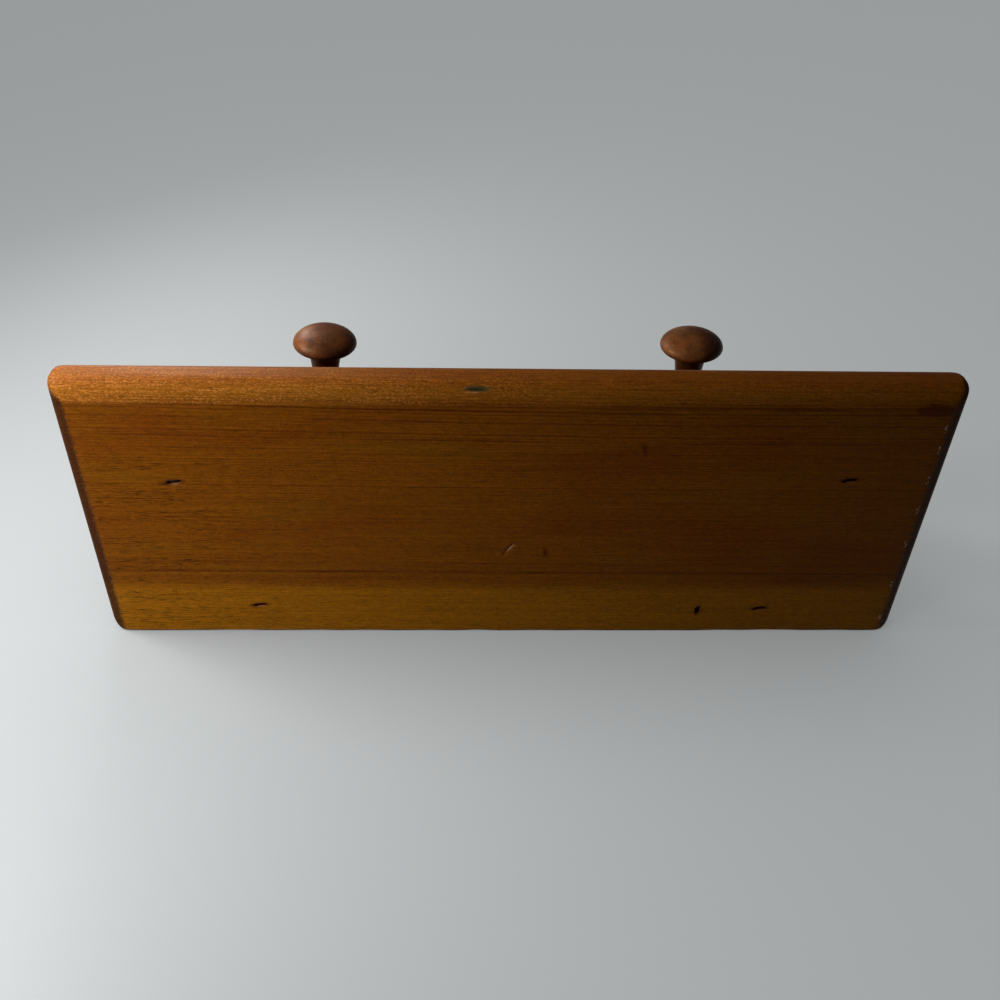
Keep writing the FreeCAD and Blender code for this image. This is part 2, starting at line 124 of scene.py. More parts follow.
class Shader:
    """The node tree of one material."""

    def __init__(self, name: str) -> None:
        """Starts an empty material of this name.

        Args:
            name: the material's name.
        """
        self.material = bpy.data.materials.new(name)
        self.material.use_nodes = True
        self.tree = self.material.node_tree
        self.tree.nodes.clear()

    def node(self, kind: str, settings: dict | None = None, sockets: dict | None = None,
             output: str | int = 0) -> Socket:
        """Adds a node, sets it up and joins its inputs.

        Args:
            kind: the node's type, such as ShaderNodeTexNoise.
            settings: the node's properties, which are set first.
            sockets: a value or a Socket for each input, by identifier, name or index.
            output: the output that the result stands for, found the same way.

        Returns:
            The chosen output.
        """
        made = self.tree.nodes.new(kind)
        for name, value in (settings or {}).items():
            setattr(made, name, value)
        for name, value in (sockets or {}).items():
            target = self.find(made.inputs, name)
            if isinstance(value, Socket):
                self.tree.links.new(value.link, target)
            else:
                target.default_value = value
        return Socket(self, self.find(made.outputs, output))

    @staticmethod
    def find(sockets: Sequence[bpy.types.NodeSocket], name: str | int) -> bpy.types.NodeSocket:
        """Finds a socket by its index, its identifier or its name.

        Args:
            sockets: a node's inputs or outputs.
            name: the index, identifier or name.

        Returns:
            The socket.
        """
        if isinstance(name, int):
            return sockets[name]
        exact = [s for s in sockets if s.identifier == name]
        return exact[0] if exact else next(s for s in sockets if s.name == name)

    def math(self, operation: str, first: Number, second: Number = 0.0) -> Socket:
        """Adds one Math node."""
        return self.node("ShaderNodeMath", {"operation": operation}, {0: first, 1: second})

    def vector_math(self, operation: str, first: object, second: object,
                    output: str = "Vector") -> Socket:
        """Adds one Vector Math node."""
        sockets = {0: first, ("Scale" if operation == "SCALE" else 1): second}
        return self.node("ShaderNodeVectorMath", {"operation": operation}, sockets, output)

    def step(self, value: Number, low: Number, high: Number) -> Socket:
        """Rises smoothly from 0 at low to 1 at high, and stays there."""
        sockets = {"Value": value, "From Min": low, "From Max": high}
        return self.node("ShaderNodeMapRange", {"interpolation_type": "SMOOTHSTEP"}, sockets)

    def band(self, value: Number, middle: float, half_width: float) -> Socket:
        """Is 1 at a middle value and falls smoothly to 0 at half a width from it."""
        away = self.math("ABSOLUTE", value - middle)
        return 1 - self.step(away, 0.0, half_width)

    def mix(self, first: object, second: object, share: Number) -> Socket:
        """Blends two colours, given as sRGB tuples or Sockets, by a share from 0 to 1.

        Args:
            first: the colour at a share of 0.
            second: the colour at a share of 1.
            share: the share, from 0 to 1.

        Returns:
            The blended colour.
        """
        colours = [c if isinstance(c, Socket) else linear(c) for c in (first, second)]
        settings = {"data_type": "RGBA", "blend_type": "MIX", "clamp_factor": True}
        sockets = {"Factor_Float": share, "A_Color": colours[0], "B_Color": colours[1]}
        return self.node("ShaderNodeMix", settings, sockets, "Result_Color")

    def brighten(self, colour: Socket, gain: Number) -> Socket:
        """Multiplies a colour by a number."""
        return self.vector_math("SCALE", colour, gain)

    def place(self) -> Socket:
        """Gives the place on the piece in millimetres, in the part's frame."""
        spot = self.node("ShaderNodeTexCoord", output="Object")
        return self.vector_math("SCALE", spot, 1 / METRES)

    def facing(self) -> Socket:
        """Gives the way that the surface faces, in the part's frame."""
        return self.node("ShaderNodeTexCoord", output="Normal")

    def split(self, vector: Socket) -> tuple[Socket, Socket, Socket]:
        """Splits a vector into its three numbers.

        Args:
            vector: the vector.

        Returns:
            Its three numbers.
        """
        parts = self.node("ShaderNodeSeparateXYZ", sockets={0: vector})
        outputs = parts.link.node.outputs
        return Socket(self, outputs[0]), Socket(self, outputs[1]), Socket(self, outputs[2])

    def join(self, x: Number, y: Number, z: Number) -> Socket:
        """Joins three numbers into a vector."""
        return self.node("ShaderNodeCombineXYZ", sockets={0: x, 1: y, 2: z})

    def cloud(self, spot: Socket, sizes: Sequence[float], detail: float = 2.0) -> Socket:
        """Noise from 0 to 1 in patches of the given sizes.

        Args:
            spot: where the noise is read.
            sizes: the patches' size along each axis of spot, in millimetres.
            detail: how many finer layers the noise has.

        Returns:
            The noise, about 0.5 in the middle.
        """
        stretched = self.vector_math("DIVIDE", spot, tuple(sizes))
        sockets = {"Vector": stretched, "Scale": 1.0, "Detail": detail, "Roughness": 0.55}
        return self.node("ShaderNodeTexNoise", {"noise_dimensions": "3D"}, sockets)

    def spot(self, place: Socket, middle: Vector, half_sizes: Vector, turn: float = 0.0) -> Socket:
        """Is 0 in the middle of an ellipsoid and 1 on its skin.

        Args:
            place: the place on the piece.
            middle: the ellipsoid's middle.
            half_sizes: its half sizes.
            turn: its turn about Z, in degrees.

        Returns:
            The distance from the middle, in shares of the half sizes.
        """
        settings = {"vector_type": "TEXTURE"}
        sockets = {"Vector": place, "Location": middle, "Scale": half_sizes,
                   "Rotation": (0, 0, math.radians(turn))}
        local = self.node("ShaderNodeMapping", settings, sockets)
        return self.vector_math("LENGTH", local, (0, 0, 0), "Value")

    def bump(self, height: Socket, relief: float) -> Socket:
        """Turns a height into a relief.

        Args:
            height: the height, from 0 to 1.
            relief: what a height of 1 stands for, in millimetres.

        Returns:
            The normal for the surface's shader.
        """
        sockets = {"Strength": 1.0, "Distance": relief * METRES, "Height": height}
        return self.node("ShaderNodeBump", sockets=sockets)

    def surface(self, sockets: dict) -> bpy.types.Material:
        """Ends the material with a Principled shader that has these inputs."""
        shader = self.node("ShaderNodeBsdfPrincipled", sockets=sockets)
        return self.end(shader)

    def end(self, surface: Socket) -> bpy.types.Material:
        """Ends the material with this surface.

        Args:
            surface: the surface's shader.

        Returns:
            The finished material.
        """
        output = self.tree.nodes.new("ShaderNodeOutputMaterial")
        self.tree.links.new(surface.link, output.inputs["Surface"])
        return self.material


# Finishes


class Grain(Enum):
    """The part axes that lie along, across and through the grain of a piece."""

    SIDEWAYS_FLAT = (0, 1, 2)
    SIDEWAYS_UPRIGHT = (0, 2, 1)
    UPRIGHT = (2, 1, 0)


@dataclass(frozen=True)
class StainedSoftwood:
    """A clear softwood board under an amber stain that has drawn into its end grain.

    The rings are tubes round the tree's pith, so they run on from face to face.
    """

    name: str
    grain: Grain
    pith: tuple[float, float]
    seed: float = 0.0
    ring: float = 1.05
    drift: float = 3.0
    drift_near: float = 70.0
    drift_from: float = -80.0
    drift_to: float = 230.0
    sway: float = 0.9
    sapwood_from: float = 1e4
    early: Colour = (122, 68, 9)
    late: Colour = (80, 35, 4)
    red: Colour = (108, 50, 7)
    olive: Colour = (116, 73, 9)
    sapwood: Colour = (150, 93, 13)
    end: Colour = (62, 30, 9)

    def material(self) -> bpy.types.Material:
        """Builds the board's material.

        Returns:
            The material.
        """
        shader = Shader(self.name)
        place = shader.place()
        facing = shader.facing()
        parts = shader.split(place)
        grain = shader.join(*(parts[i] for i in self.grain.value))
        radius = self.radius(shader, grain)
        late = self.latewood(shader, radius)
        loose = shader.vector_math("ADD", grain, (self.seed * 37.1, self.seed * 11.3, self.seed * 23.7))
        fibre = shader.cloud(loose, (7.0, 0.5, 0.5), 3.0)
        streak = shader.cloud(loose, (40.0, 1.4, 1.4), 2.0)
        fleck = shader.cloud(loose, (0.9, 0.5, 0.5), 1.0)
        speckle = shader.cloud(loose, (2.6, 1.3, 1.3), 3.0)
        colour = self.tone(shader, loose, late, radius)
        uneven = 0.9 * (fibre - 0.5) + 0.6 * (streak - 0.5) + 1.0 * (fleck - 0.5) + 0.9 * (speckle - 0.5)
        colour = shader.brighten(colour, 1 + uneven)
        dash = self.dashes(shader, loose)
        colour = shader.mix(colour, self.end, dash * 0.75)
        colour = self.darken_ends(shader, colour, facing, loose)
        colour, height = self.marks(shader, colour, place, facing, loose)
        height = height + fibre * 0.5 + fleck * 0.5 - late * 0.35 - dash * 0.6
        normal = shader.bump(height, 0.05)
        along = shader.math("ABSOLUTE", shader.split(facing)[self.grain.value[0]])
        roughness = 0.5 + 0.12 * (fibre - 0.5) + 0.08 * late + 0.3 * shader.step(along, 0.2, 0.6)
        return shader.surface({
            "Base Color": colour, "Roughness": roughness, "Normal": normal,
            "Specular IOR Level": 0.16, "Specular Tint": linear((255, 140, 40)),
        })

    def radius(self, shader: Shader, grain: Socket) -> Socket:
        """Gives the distance from the pith, with the tree's slow sway and drift along it.

        Args:
            shader: the material's nodes.
            grain: the place, turned so that X runs along the grain.

        Returns:
            The distance, in millimetres.
        """
        along, across, through = shader.split(grain)
        flat = shader.join(0.0, across - self.pith[0], through - self.pith[1])
        length = shader.vector_math("LENGTH", flat, (0, 0, 0), "Value")
        sway = shader.cloud(grain, (150.0, 40.0, 40.0), 1.0) - 0.5
        slow = shader.cloud(grain, (42.0, 7.0, 7.0), 3.0) - 0.5
        drift = shader.step(along, self.drift_from, self.drift_to) * (self.drift * self.drift_near)
        return length + drift / length + sway * self.sway + slow * (self.sway * 0.7)

    def latewood(self, shader: Shader, radius: Socket) -> Socket:
        """Gives the share of dark latewood, with rings of uneven width and depth.

        Args:
            shader: the material's nodes.
            radius: the distance from the pith.

        Returns:
            The share, from 0 to 1.
        """
        spread = shader.cloud(shader.join(radius, 0.0, self.seed), (5.0, 1.0, 1.0), 1.0)
        count = (radius + 3.2 * spread) / self.ring
        year = shader.math("FLOOR", count)
        part = shader.math("FRACT", count)
        luck = shader.node("ShaderNodeTexWhiteNoise", {"noise_dimensions": "1D"}, {"W": year}, "Value")
        rise = shader.step(part, 0.25 + 0.35 * luck, 0.9)
        fall = 1 - shader.step(part, 0.93, 1.0)
        return rise * fall * (0.25 + 0.75 * luck * luck)

    def tone(self, shader: Shader, loose: Socket, late: Socket, radius: Socket) -> Socket:
        """Gives the wood's colour from its rings and its slow patches.

        Args:
            shader: the material's nodes.
            loose: the place along the grain, moved for this board's noise.
            late: the share of latewood.
            radius: the distance from the pith.

        Returns:
            The colour.
        """
        colour = shader.mix(self.early, self.late, late * 0.9)
        warm = shader.cloud(loose, (80.0, 22.0, 22.0), 2.0)
        colour = shader.mix(colour, self.red, shader.step(warm, 0.48, 0.72) * 0.55)
        cool = shader.cloud(shader.vector_math("ADD", loose, (71.0, 7.0, 3.0)), (60.0, 12.0, 12.0), 2.0)
        colour = shader.mix(colour, self.olive, shader.step(cool, 0.5, 0.75) * 0.5)
        pale = shader.step(radius, self.sapwood_from, self.sapwood_from + 7.5)
        gold = shader.mix(self.sapwood, self.olive, late * 0.65)
        return shader.mix(colour, gold, pale)

    def dashes(self, shader: Shader, loose: Socket) -> Socket:
        """Gives the short dark lines of the resin canals.

        Args:
            shader: the material's nodes.
            loose: the place along the grain, moved for this board's noise.

        Returns:
            The lines' strength, from 0 to 1.
        """
        lines = shader.cloud(loose, (8.0, 0.42, 0.42), 1.0)
        where = shader.cloud(loose, (34.0, 9.0, 9.0), 1.0)
        return shader.step(lines, 0.67, 0.77) * shader.step(where, 0.44, 0.6)

    def darken_ends(self, shader: Shader, colour: Socket, facing: Socket, loose: Socket) -> Socket:
        """Darkens what faces along the grain, where the stain draws in.

        Args:
            shader: the material's nodes.
            colour: the colour so far.
            facing: the way that the surface faces.
            loose: the place along the grain, moved for this board's noise.

        Returns:
            The colour with darker ends.
        """
        parts = shader.split(facing)
        along = shader.math("ABSOLUTE", parts[self.grain.value[0]])
        uneven = (shader.cloud(loose, (1.2, 1.2, 1.2), 2.0) - 0.5) * 0.36
        share = shader.step(along + uneven, 0.1, 0.38)
        mottle = shader.step(shader.cloud(loose, (0.75, 0.6, 0.6), 2.0), 0.36, 0.66)
        deep = shader.brighten(shader.mix(colour, self.end, 0.75), 0.22 + 0.55 * mottle)
        return shader.mix(colour, deep, share)

    def marks(self, shader: Shader, colour: Socket, place: Socket, facing: Socket,
              loose: Socket) -> tuple[Socket, Socket]:
        """Lays the marks of one board over its colour.

        Args:
            shader: the material's nodes.
            colour: the colour so far.
            place: the place on the piece; not used.
            facing: the way that the surface faces; not used.
            loose: the place along the grain, moved for this board's noise.

        Returns:
            The colour as it was, and a faint relief from 0 to 1.
        """
        return colour, shader.cloud(loose, (2.5, 1.0, 1.0), 2.0) * 0.3


@dataclass(frozen=True)
class ShelfSoftwood(StainedSoftwood):
    """The shelf board's wood, with the wear that the board has picked up, and painted sheen, highlights and
    shade.
    """

    front: float = -122.0
    back: float = 0.0
    top: float = 83.5
    holes: tuple[tuple[Vector, Vector, float], ...] = ()
    bold_line: float = 33.75
    bold_line_lean: float = 0.0061
    bold_years: tuple[float, ...] = (72.6, 78.2, 80.2, 83.6, 89.4)
    scratch: tuple[Vector, Vector, float] = (Vector((-0.35, -46.6, 83.5)), Vector((0.5, 2.8, 1.0)), -34.0)
    smudges: tuple[Vector, ...] = (Vector((-14.6, -44.2, 83.5)), Vector((-48.6, -96.3, 83.5)))
    dust_places: tuple[float, ...] = (-105.5, -96.0, -82.0, -67.0, -49.0, -27.0, -7.5)
    plug_spot: Vector = Vector((13.5, -120.1, 80.7))
    grey: Colour = (64, 62, 36)
    # Near black for the grey spot's streak, for dark stain with painted shade in the holes, and for painted
    # shade along the back edge.
    soot_and_shade: Colour = (9, 5, 2)
    dust: Colour = (226, 206, 182)
    # gold is the routed grain's paler colour, and also carries painted sheen.
    gold: Colour = (174, 108, 42)
    maroon: Colour = (62, 16, 8)
    # A dark red for the smudges, and for painted shade beside the scratch.
    bruise: Colour = (78, 23, 4)
    rust: Colour = (118, 46, 11)
    # A pale colour for lifted fibres and exposed wood, and for painted highlights.
    torn_and_highlight: Colour = (206, 156, 112)

    def tone(self, shader: Shader, loose: Socket, late: Socket, radius: Socket) -> Socket:
        """Adds the few strong rings near the front to the wood's colour.

        Args:
            shader: the material's nodes.
            loose: the place along the grain, moved for this board's noise.
            late: the share of latewood.
            radius: the distance from the pith.

        Returns:
            The colour.
        """
        colour = super().tone(shader, loose, late, radius)
        for index, year in enumerate(self.bold_years):
            elsewhere = shader.vector_math("ADD", loose, (53.0 * index, 0.0, 0.0))
            broken = shader.step(shader.cloud(elsewhere, (38.0, 9.0, 9.0), 2.0), 0.36, 0.64)
            line = shader.band(radius, year, 0.55)
            colour = shader.mix(colour, self.maroon, line * broken * 0.5)
        return colour

    def marks(self, shader: Shader, colour: Socket, place: Socket, facing: Socket,
              loose: Socket) -> tuple[Socket, Socket]:
        """Adds the routed edge's bright speckle and painted sheen, the dark crease, a bold ring, holes with
        painted shade, knocks, dust, and painted shade along the back's upper edge.

        Args:
            shader: the material's nodes.
            colour: the colour so far.
            place: the place on the piece.
            facing: the way that the surface faces.
            loose: the place along the grain, moved for this board's noise.

        Returns:
            The colour with the marks, and their relief from 0 to 1.
        """
        x, y, z = shader.split(place)
        front_facing = shader.split(facing)[1] * -1
        colour, grit = self.routed_edge(shader, colour, loose, front_facing, x)
        colour = self.crease(shader, colour, loose, x, y)
        colour = self.bold_ring(shader, colour, loose, x, y)
        colour = self.canals(shader, colour, loose, x, y)
        colour = self.grey_spot(shader, colour, place, loose)
        colour = self.knocks(shader, colour, place, loose)
        colour = self.end_dust(shader, colour, place)
        colour = self.slits(shader, colour, place, loose, z)
        # The back's upper edge gets painted shade.
        return self.painted_back_edge_shade(shader, colour, loose, y, z), grit

    def slits(self, shader: Shader, colour: Socket, place: Socket, loose: Socket, z: Socket) -> Socket:
        """Darkens the slits and the nail's hole with dark stain and painted shade, and adds the slits'
        lifted flaps.

        Args:
            shader: the material's nodes.
            colour: the colour so far.
            place: the place on the piece.
            loose: the place along the grain, moved for this board's noise.
            z: the height.

        Returns:
            The colour with the slits and the nail's hole.
        """
        for middle, half_sizes, turn in self.holes:
            away = shader.spot(place, middle, half_sizes, turn)
            # The walls and floor of each hole go near black: dark stain and painted shade.
            deep = 1 - shader.step(z, self.top - 0.35, self.top - 0.12)
            colour = shader.mix(colour, self.soot_and_shade, deep * (1 - shader.step(away, 1.25, 1.4)))
            bruise = (1 - shader.step(away, 1.0, 1.7)) * 0.4
            colour = shader.mix(colour, self.maroon, bruise)
            if half_sizes.x < half_sizes.y:
                continue
            flap = shader.spot(place, middle + Vector((-0.7, 0.95, 0)), Vector((2.5, 0.8, 1.0)), turn)
            ragged = flap + (shader.cloud(loose, (0.8, 0.5, 0.5), 1.0) - 0.5) * 1.4
            lifted = (1 - shader.step(ragged, 0.4, 1.05)) * shader.step(z, self.top - 0.15, self.top - 0.05)
            # The flaps are paler on the right, where the lamps are: painted light.
            colour = shader.mix(colour, self.torn_and_highlight, lifted * (0.15 if middle.x < 0 else 0.2))
        return colour

    def painted_back_edge_shade(self, shader: Shader, colour: Socket, loose: Socket, y: Socket, z: Socket) -> Socket:
        """Adds painted shade along the back's upper edge.

        Args:
            shader: the material's nodes.
            colour: the colour so far.
            loose: the place along the grain, moved for this board's noise.
            y: the place from front to back.
            z: the height.

        Returns:
            The colour with the painted shade.
        """
        rough_back = (shader.cloud(loose, (9.0, 1.0, 1.0), 2.0) - 0.5) * 1.1
        arris = shader.step(y + rough_back, self.back - 0.9, self.back - 0.1)
        arris = arris * shader.step(z, self.top - 1.6, self.top - 0.5)
        return shader.mix(colour, self.soot_and_shade, arris * 0.85)

    def routed_edge(self, shader: Shader, colour: Socket, loose: Socket, front_facing: Socket,
                    x: Socket) -> tuple[Socket, Socket]:
        """Makes the front round-over paler and granular, most so towards the right end: partly paler routed
        grain, partly painted sheen that grows where the lamps are.

        Args:
            shader: the material's nodes.
            colour: the colour so far.
            loose: the place along the grain, moved for this board's noise.
            front_facing: how squarely the surface faces the front, up to 1.
            x: the place from left to right.

        Returns:
            The colour, and the grit's height from 0 to 1.
        """
        share = shader.step(front_facing, 0.0, 0.22)
        patch = shader.cloud(loose, (26.0, 6.0, 6.0), 2.0)
        ruddy = shader.step(front_facing, 0.8, 0.97) * (0.02 + 0.4 * patch)
        colour = shader.mix(colour, self.rust, ruddy)
        colour = shader.mix(colour, self.olive, shader.band(front_facing, 0.55, 0.4) * 0.45)
        grains = shader.cloud(loose, (0.95, 0.5, 0.5), 2.0)
        bright = shader.step(grains, 0.46, 0.66)
        # The pale gold speckle is partly open grain and partly painted sheen, growing towards the right end
        # as painted light.
        opened_and_sheen = 0.3 + 0.7 * shader.step(x, -70.0, 165.0)
        opened_and_sheen = opened_and_sheen * (1 - 0.15 * shader.step(front_facing, 0.55, 0.95))
        lines = shader.step(shader.cloud(loose, (16.0, 0.6, 0.6), 2.0), 0.4, 0.6)
        opened_and_sheen = opened_and_sheen * (0.58 + 0.72 * lines)
        pale = shader.mix(colour, self.gold, (0.22 + 0.85 * bright) * opened_and_sheen)
        pits = shader.step(shader.cloud(loose, (3.4, 0.45, 0.45), 1.0), 0.55, 0.68)
        pale = shader.mix(pale, self.late, pits * 0.4)
        return shader.mix(colour, pale, share), grains * (0.35 + 0.5 * share)

    def crease(self, shader: Shader, colour: Socket, loose: Socket, x: Socket, y: Socket) -> Socket:
        """Adds the dark line where the round-over meets the flat, deepest near the left end.

        Args:
            shader: the material's nodes.
            colour: the colour so far.
            loose: the place along the grain, moved for this board's noise.
            x: the place from left to right.
            y: the place from front to back.

        Returns:
            The colour with the crease.
        """
        wander = (shader.cloud(loose, (26.0, 6.0, 6.0), 2.0) - 0.5) * 1.1
        from_front = y - self.front + wander
        patchy = shader.step(shader.cloud(loose, (34.0, 3.0, 3.0), 2.0), 0.36, 0.62)
        towards_left = 1 - shader.step(x, -150.0, 60.0)
        broad = shader.band(from_front, 8.4, 2.1) * patchy * (0.12 + 0.4 * towards_left)
        colour = shader.mix(colour, self.maroon, broad)
        line = shader.band(from_front, 7.9, 0.8) * (0.08 + 0.26 * patchy) * (0.5 + 0.5 * towards_left)
        colour = shader.mix(colour, self.maroon, line)
        smear = shader.spot(shader.join(x, y, 0.0), Vector((-153.0, -113.8, 0.0)), Vector((10.0, 3.4, 1.0)))
        ragged = smear + (shader.cloud(loose, (4.0, 1.0, 1.0), 2.0) - 0.5) * 0.9
        return shader.mix(colour, self.maroon, (1 - shader.step(ragged, 0.55, 1.0)) * 0.75)

    def bold_ring(self, shader: Shader, colour: Socket, loose: Socket, x: Socket, y: Socket) -> Socket:
        """Adds the one strong ring that runs the board's length, and its fainter fellow.

        Args:
            shader: the material's nodes.
            colour: the colour so far.
            loose: the place along the grain, moved for this board's noise.
            x: the place from left to right.
            y: the place from front to back.

        Returns:
            The colour with the ring.
        """
        wander = (shader.cloud(loose, (60.0, 30.0, 30.0), 2.0) - 0.5) * 0.9
        line = y + self.bold_line + x * self.bold_line_lean + wander
        broken = 0.55 + 0.45 * shader.step(shader.cloud(loose, (22.0, 3.0, 3.0), 1.0), 0.4, 0.6)
        colour = shader.mix(colour, self.maroon, shader.band(line, 0.0, 0.85) * broken * 0.75)
        fainter = shader.band(line, -4.6, 0.6) * broken
        return shader.mix(colour, self.late, fainter * 0.6)

    def canals(self, shader: Shader, colour: Socket, loose: Socket, x: Socket, y: Socket) -> Socket:
        """Adds the short dark dashes that crowd towards the right end.

        Args:
            shader: the material's nodes.
            colour: the colour so far.
            loose: the place along the grain, moved for this board's noise.
            x: the place from left to right.
            y: the place from front to back.

        Returns:
            The colour with the dashes.
        """
        elsewhere = shader.vector_math("ADD", loose, (17.0, 5.0, 9.0))
        dash = shader.step(shader.cloud(elsewhere, (5.0, 0.42, 0.42), 1.0), 0.57, 0.65)
        rows = shader.step(shader.cloud(elsewhere, (60.0, 2.6, 2.6), 1.0), 0.42, 0.56)
        crowd = shader.step(x, 55.0, 135.0) * shader.step(y, self.front + 18.0, self.front + 40.0)
        return shader.mix(colour, shader.brighten(colour, 0.3), dash * rows * crowd)

    def grey_spot(self, shader: Shader, colour: Socket, place: Socket, loose: Socket) -> Socket:
        """Adds the grey-green spot on the routed edge, with its dark streak and a painted highlight below
        it.

        Args:
            shader: the material's nodes.
            colour: the colour so far.
            place: the place on the piece.
            loose: the place along the grain, moved for this board's noise.

        Returns:
            The colour with the spot.
        """
        uneven = (shader.cloud(loose, (1.6, 0.5, 0.5), 2.0) - 0.5) * 0.9
        spot = shader.spot(place, self.plug_spot, Vector((5.0, 1.25, 1.5))) + uneven
        colour = shader.mix(colour, self.grey, (1 - shader.step(spot, 0.65, 1.1)) * 0.9)
        streak = shader.spot(place, self.plug_spot + Vector((0.7, 0.1, 0.1)), Vector((3.3, 0.6, 0.7)))
        colour = shader.mix(colour, self.soot_and_shade, (1 - shader.step(streak + uneven, 0.3, 1.2)) * 0.7)
        # The pale line below the spot is a painted highlight.
        below = shader.spot(place, self.plug_spot + Vector((1.8, 0.85, 0.87)), Vector((3.2, 0.4, 0.4)))
        return shader.mix(colour, self.torn_and_highlight, (1 - shader.step(below + uneven, 0.5, 1.2)) * 0.18)

    def knocks(self, shader: Shader, colour: Socket, place: Socket, loose: Socket) -> Socket:
        """Adds the pale scratch in one dent of the top, partly a painted highlight, with painted shade
        beside it, and the dark smudges in the others.

        Args:
            shader: the material's nodes.
            colour: the colour so far.
            place: the place on the piece.
            loose: the place along the grain, moved for this board's noise; not used.

        Returns:
            The colour with the knocks.
        """
        jagged = (shader.cloud(place, (0.7, 0.7, 0.7), 1.0) - 0.5) * 1.6
        for middle in self.smudges:
            smudge = shader.spot(place, middle, Vector((1.4, 3.6, 1.0)), 8.0) + jagged
            colour = shader.mix(colour, self.bruise, (1 - shader.step(smudge, 0.2, 1.2)) * 0.75)
        middle, half_sizes, turn = self.scratch
        # Painted shade of the dent's slope, beside the scratch.
        shade = shader.spot(place, middle + Vector((0.8, 0.1, 0)), half_sizes * 1.5, turn) + jagged * 0.6
        colour = shader.mix(colour, self.bruise, (1 - shader.step(shade, 0.4, 1.2)) * 0.6)
        # The pale line is partly exposed wood and partly a painted highlight.
        line = shader.spot(place, middle, half_sizes, turn) + jagged * 1.3
        colour = shader.mix(colour, self.torn_and_highlight, (1 - shader.step(line, 0.5, 1.1)) * 0.7)
        around = 1 - shader.step(shader.spot(place, middle, Vector((2.0, 4.0, 1.0)), turn), 0.4, 1.0)
        crumbs = shader.step(shader.cloud(place, (0.36, 0.36, 0.36), 1.0), 0.62, 0.72)
        return shader.mix(colour, self.torn_and_highlight, crumbs * around * 0.4)

    def end_dust(self, shader: Shader, colour: Socket, place: Socket) -> Socket:
        """Adds the pale flecks along the crease of the left end.

        Args:
            shader: the material's nodes.
            colour: the colour so far.
            place: the place on the piece.

        Returns:
            The colour with the flecks.
        """
        crumbs = shader.step(shader.cloud(place, (0.62, 0.7, 0.9), 0.0), 0.56, 0.66)
        for y in self.dust_places:
            near = shader.spot(place, Vector((-158.1, y, self.top)), Vector((0.8, 2.4, 2.0)))
            colour = shader.mix(colour, self.dust, (1 - shader.step(near, 0.7, 1.0)) * crumbs * 0.9)
        return colour


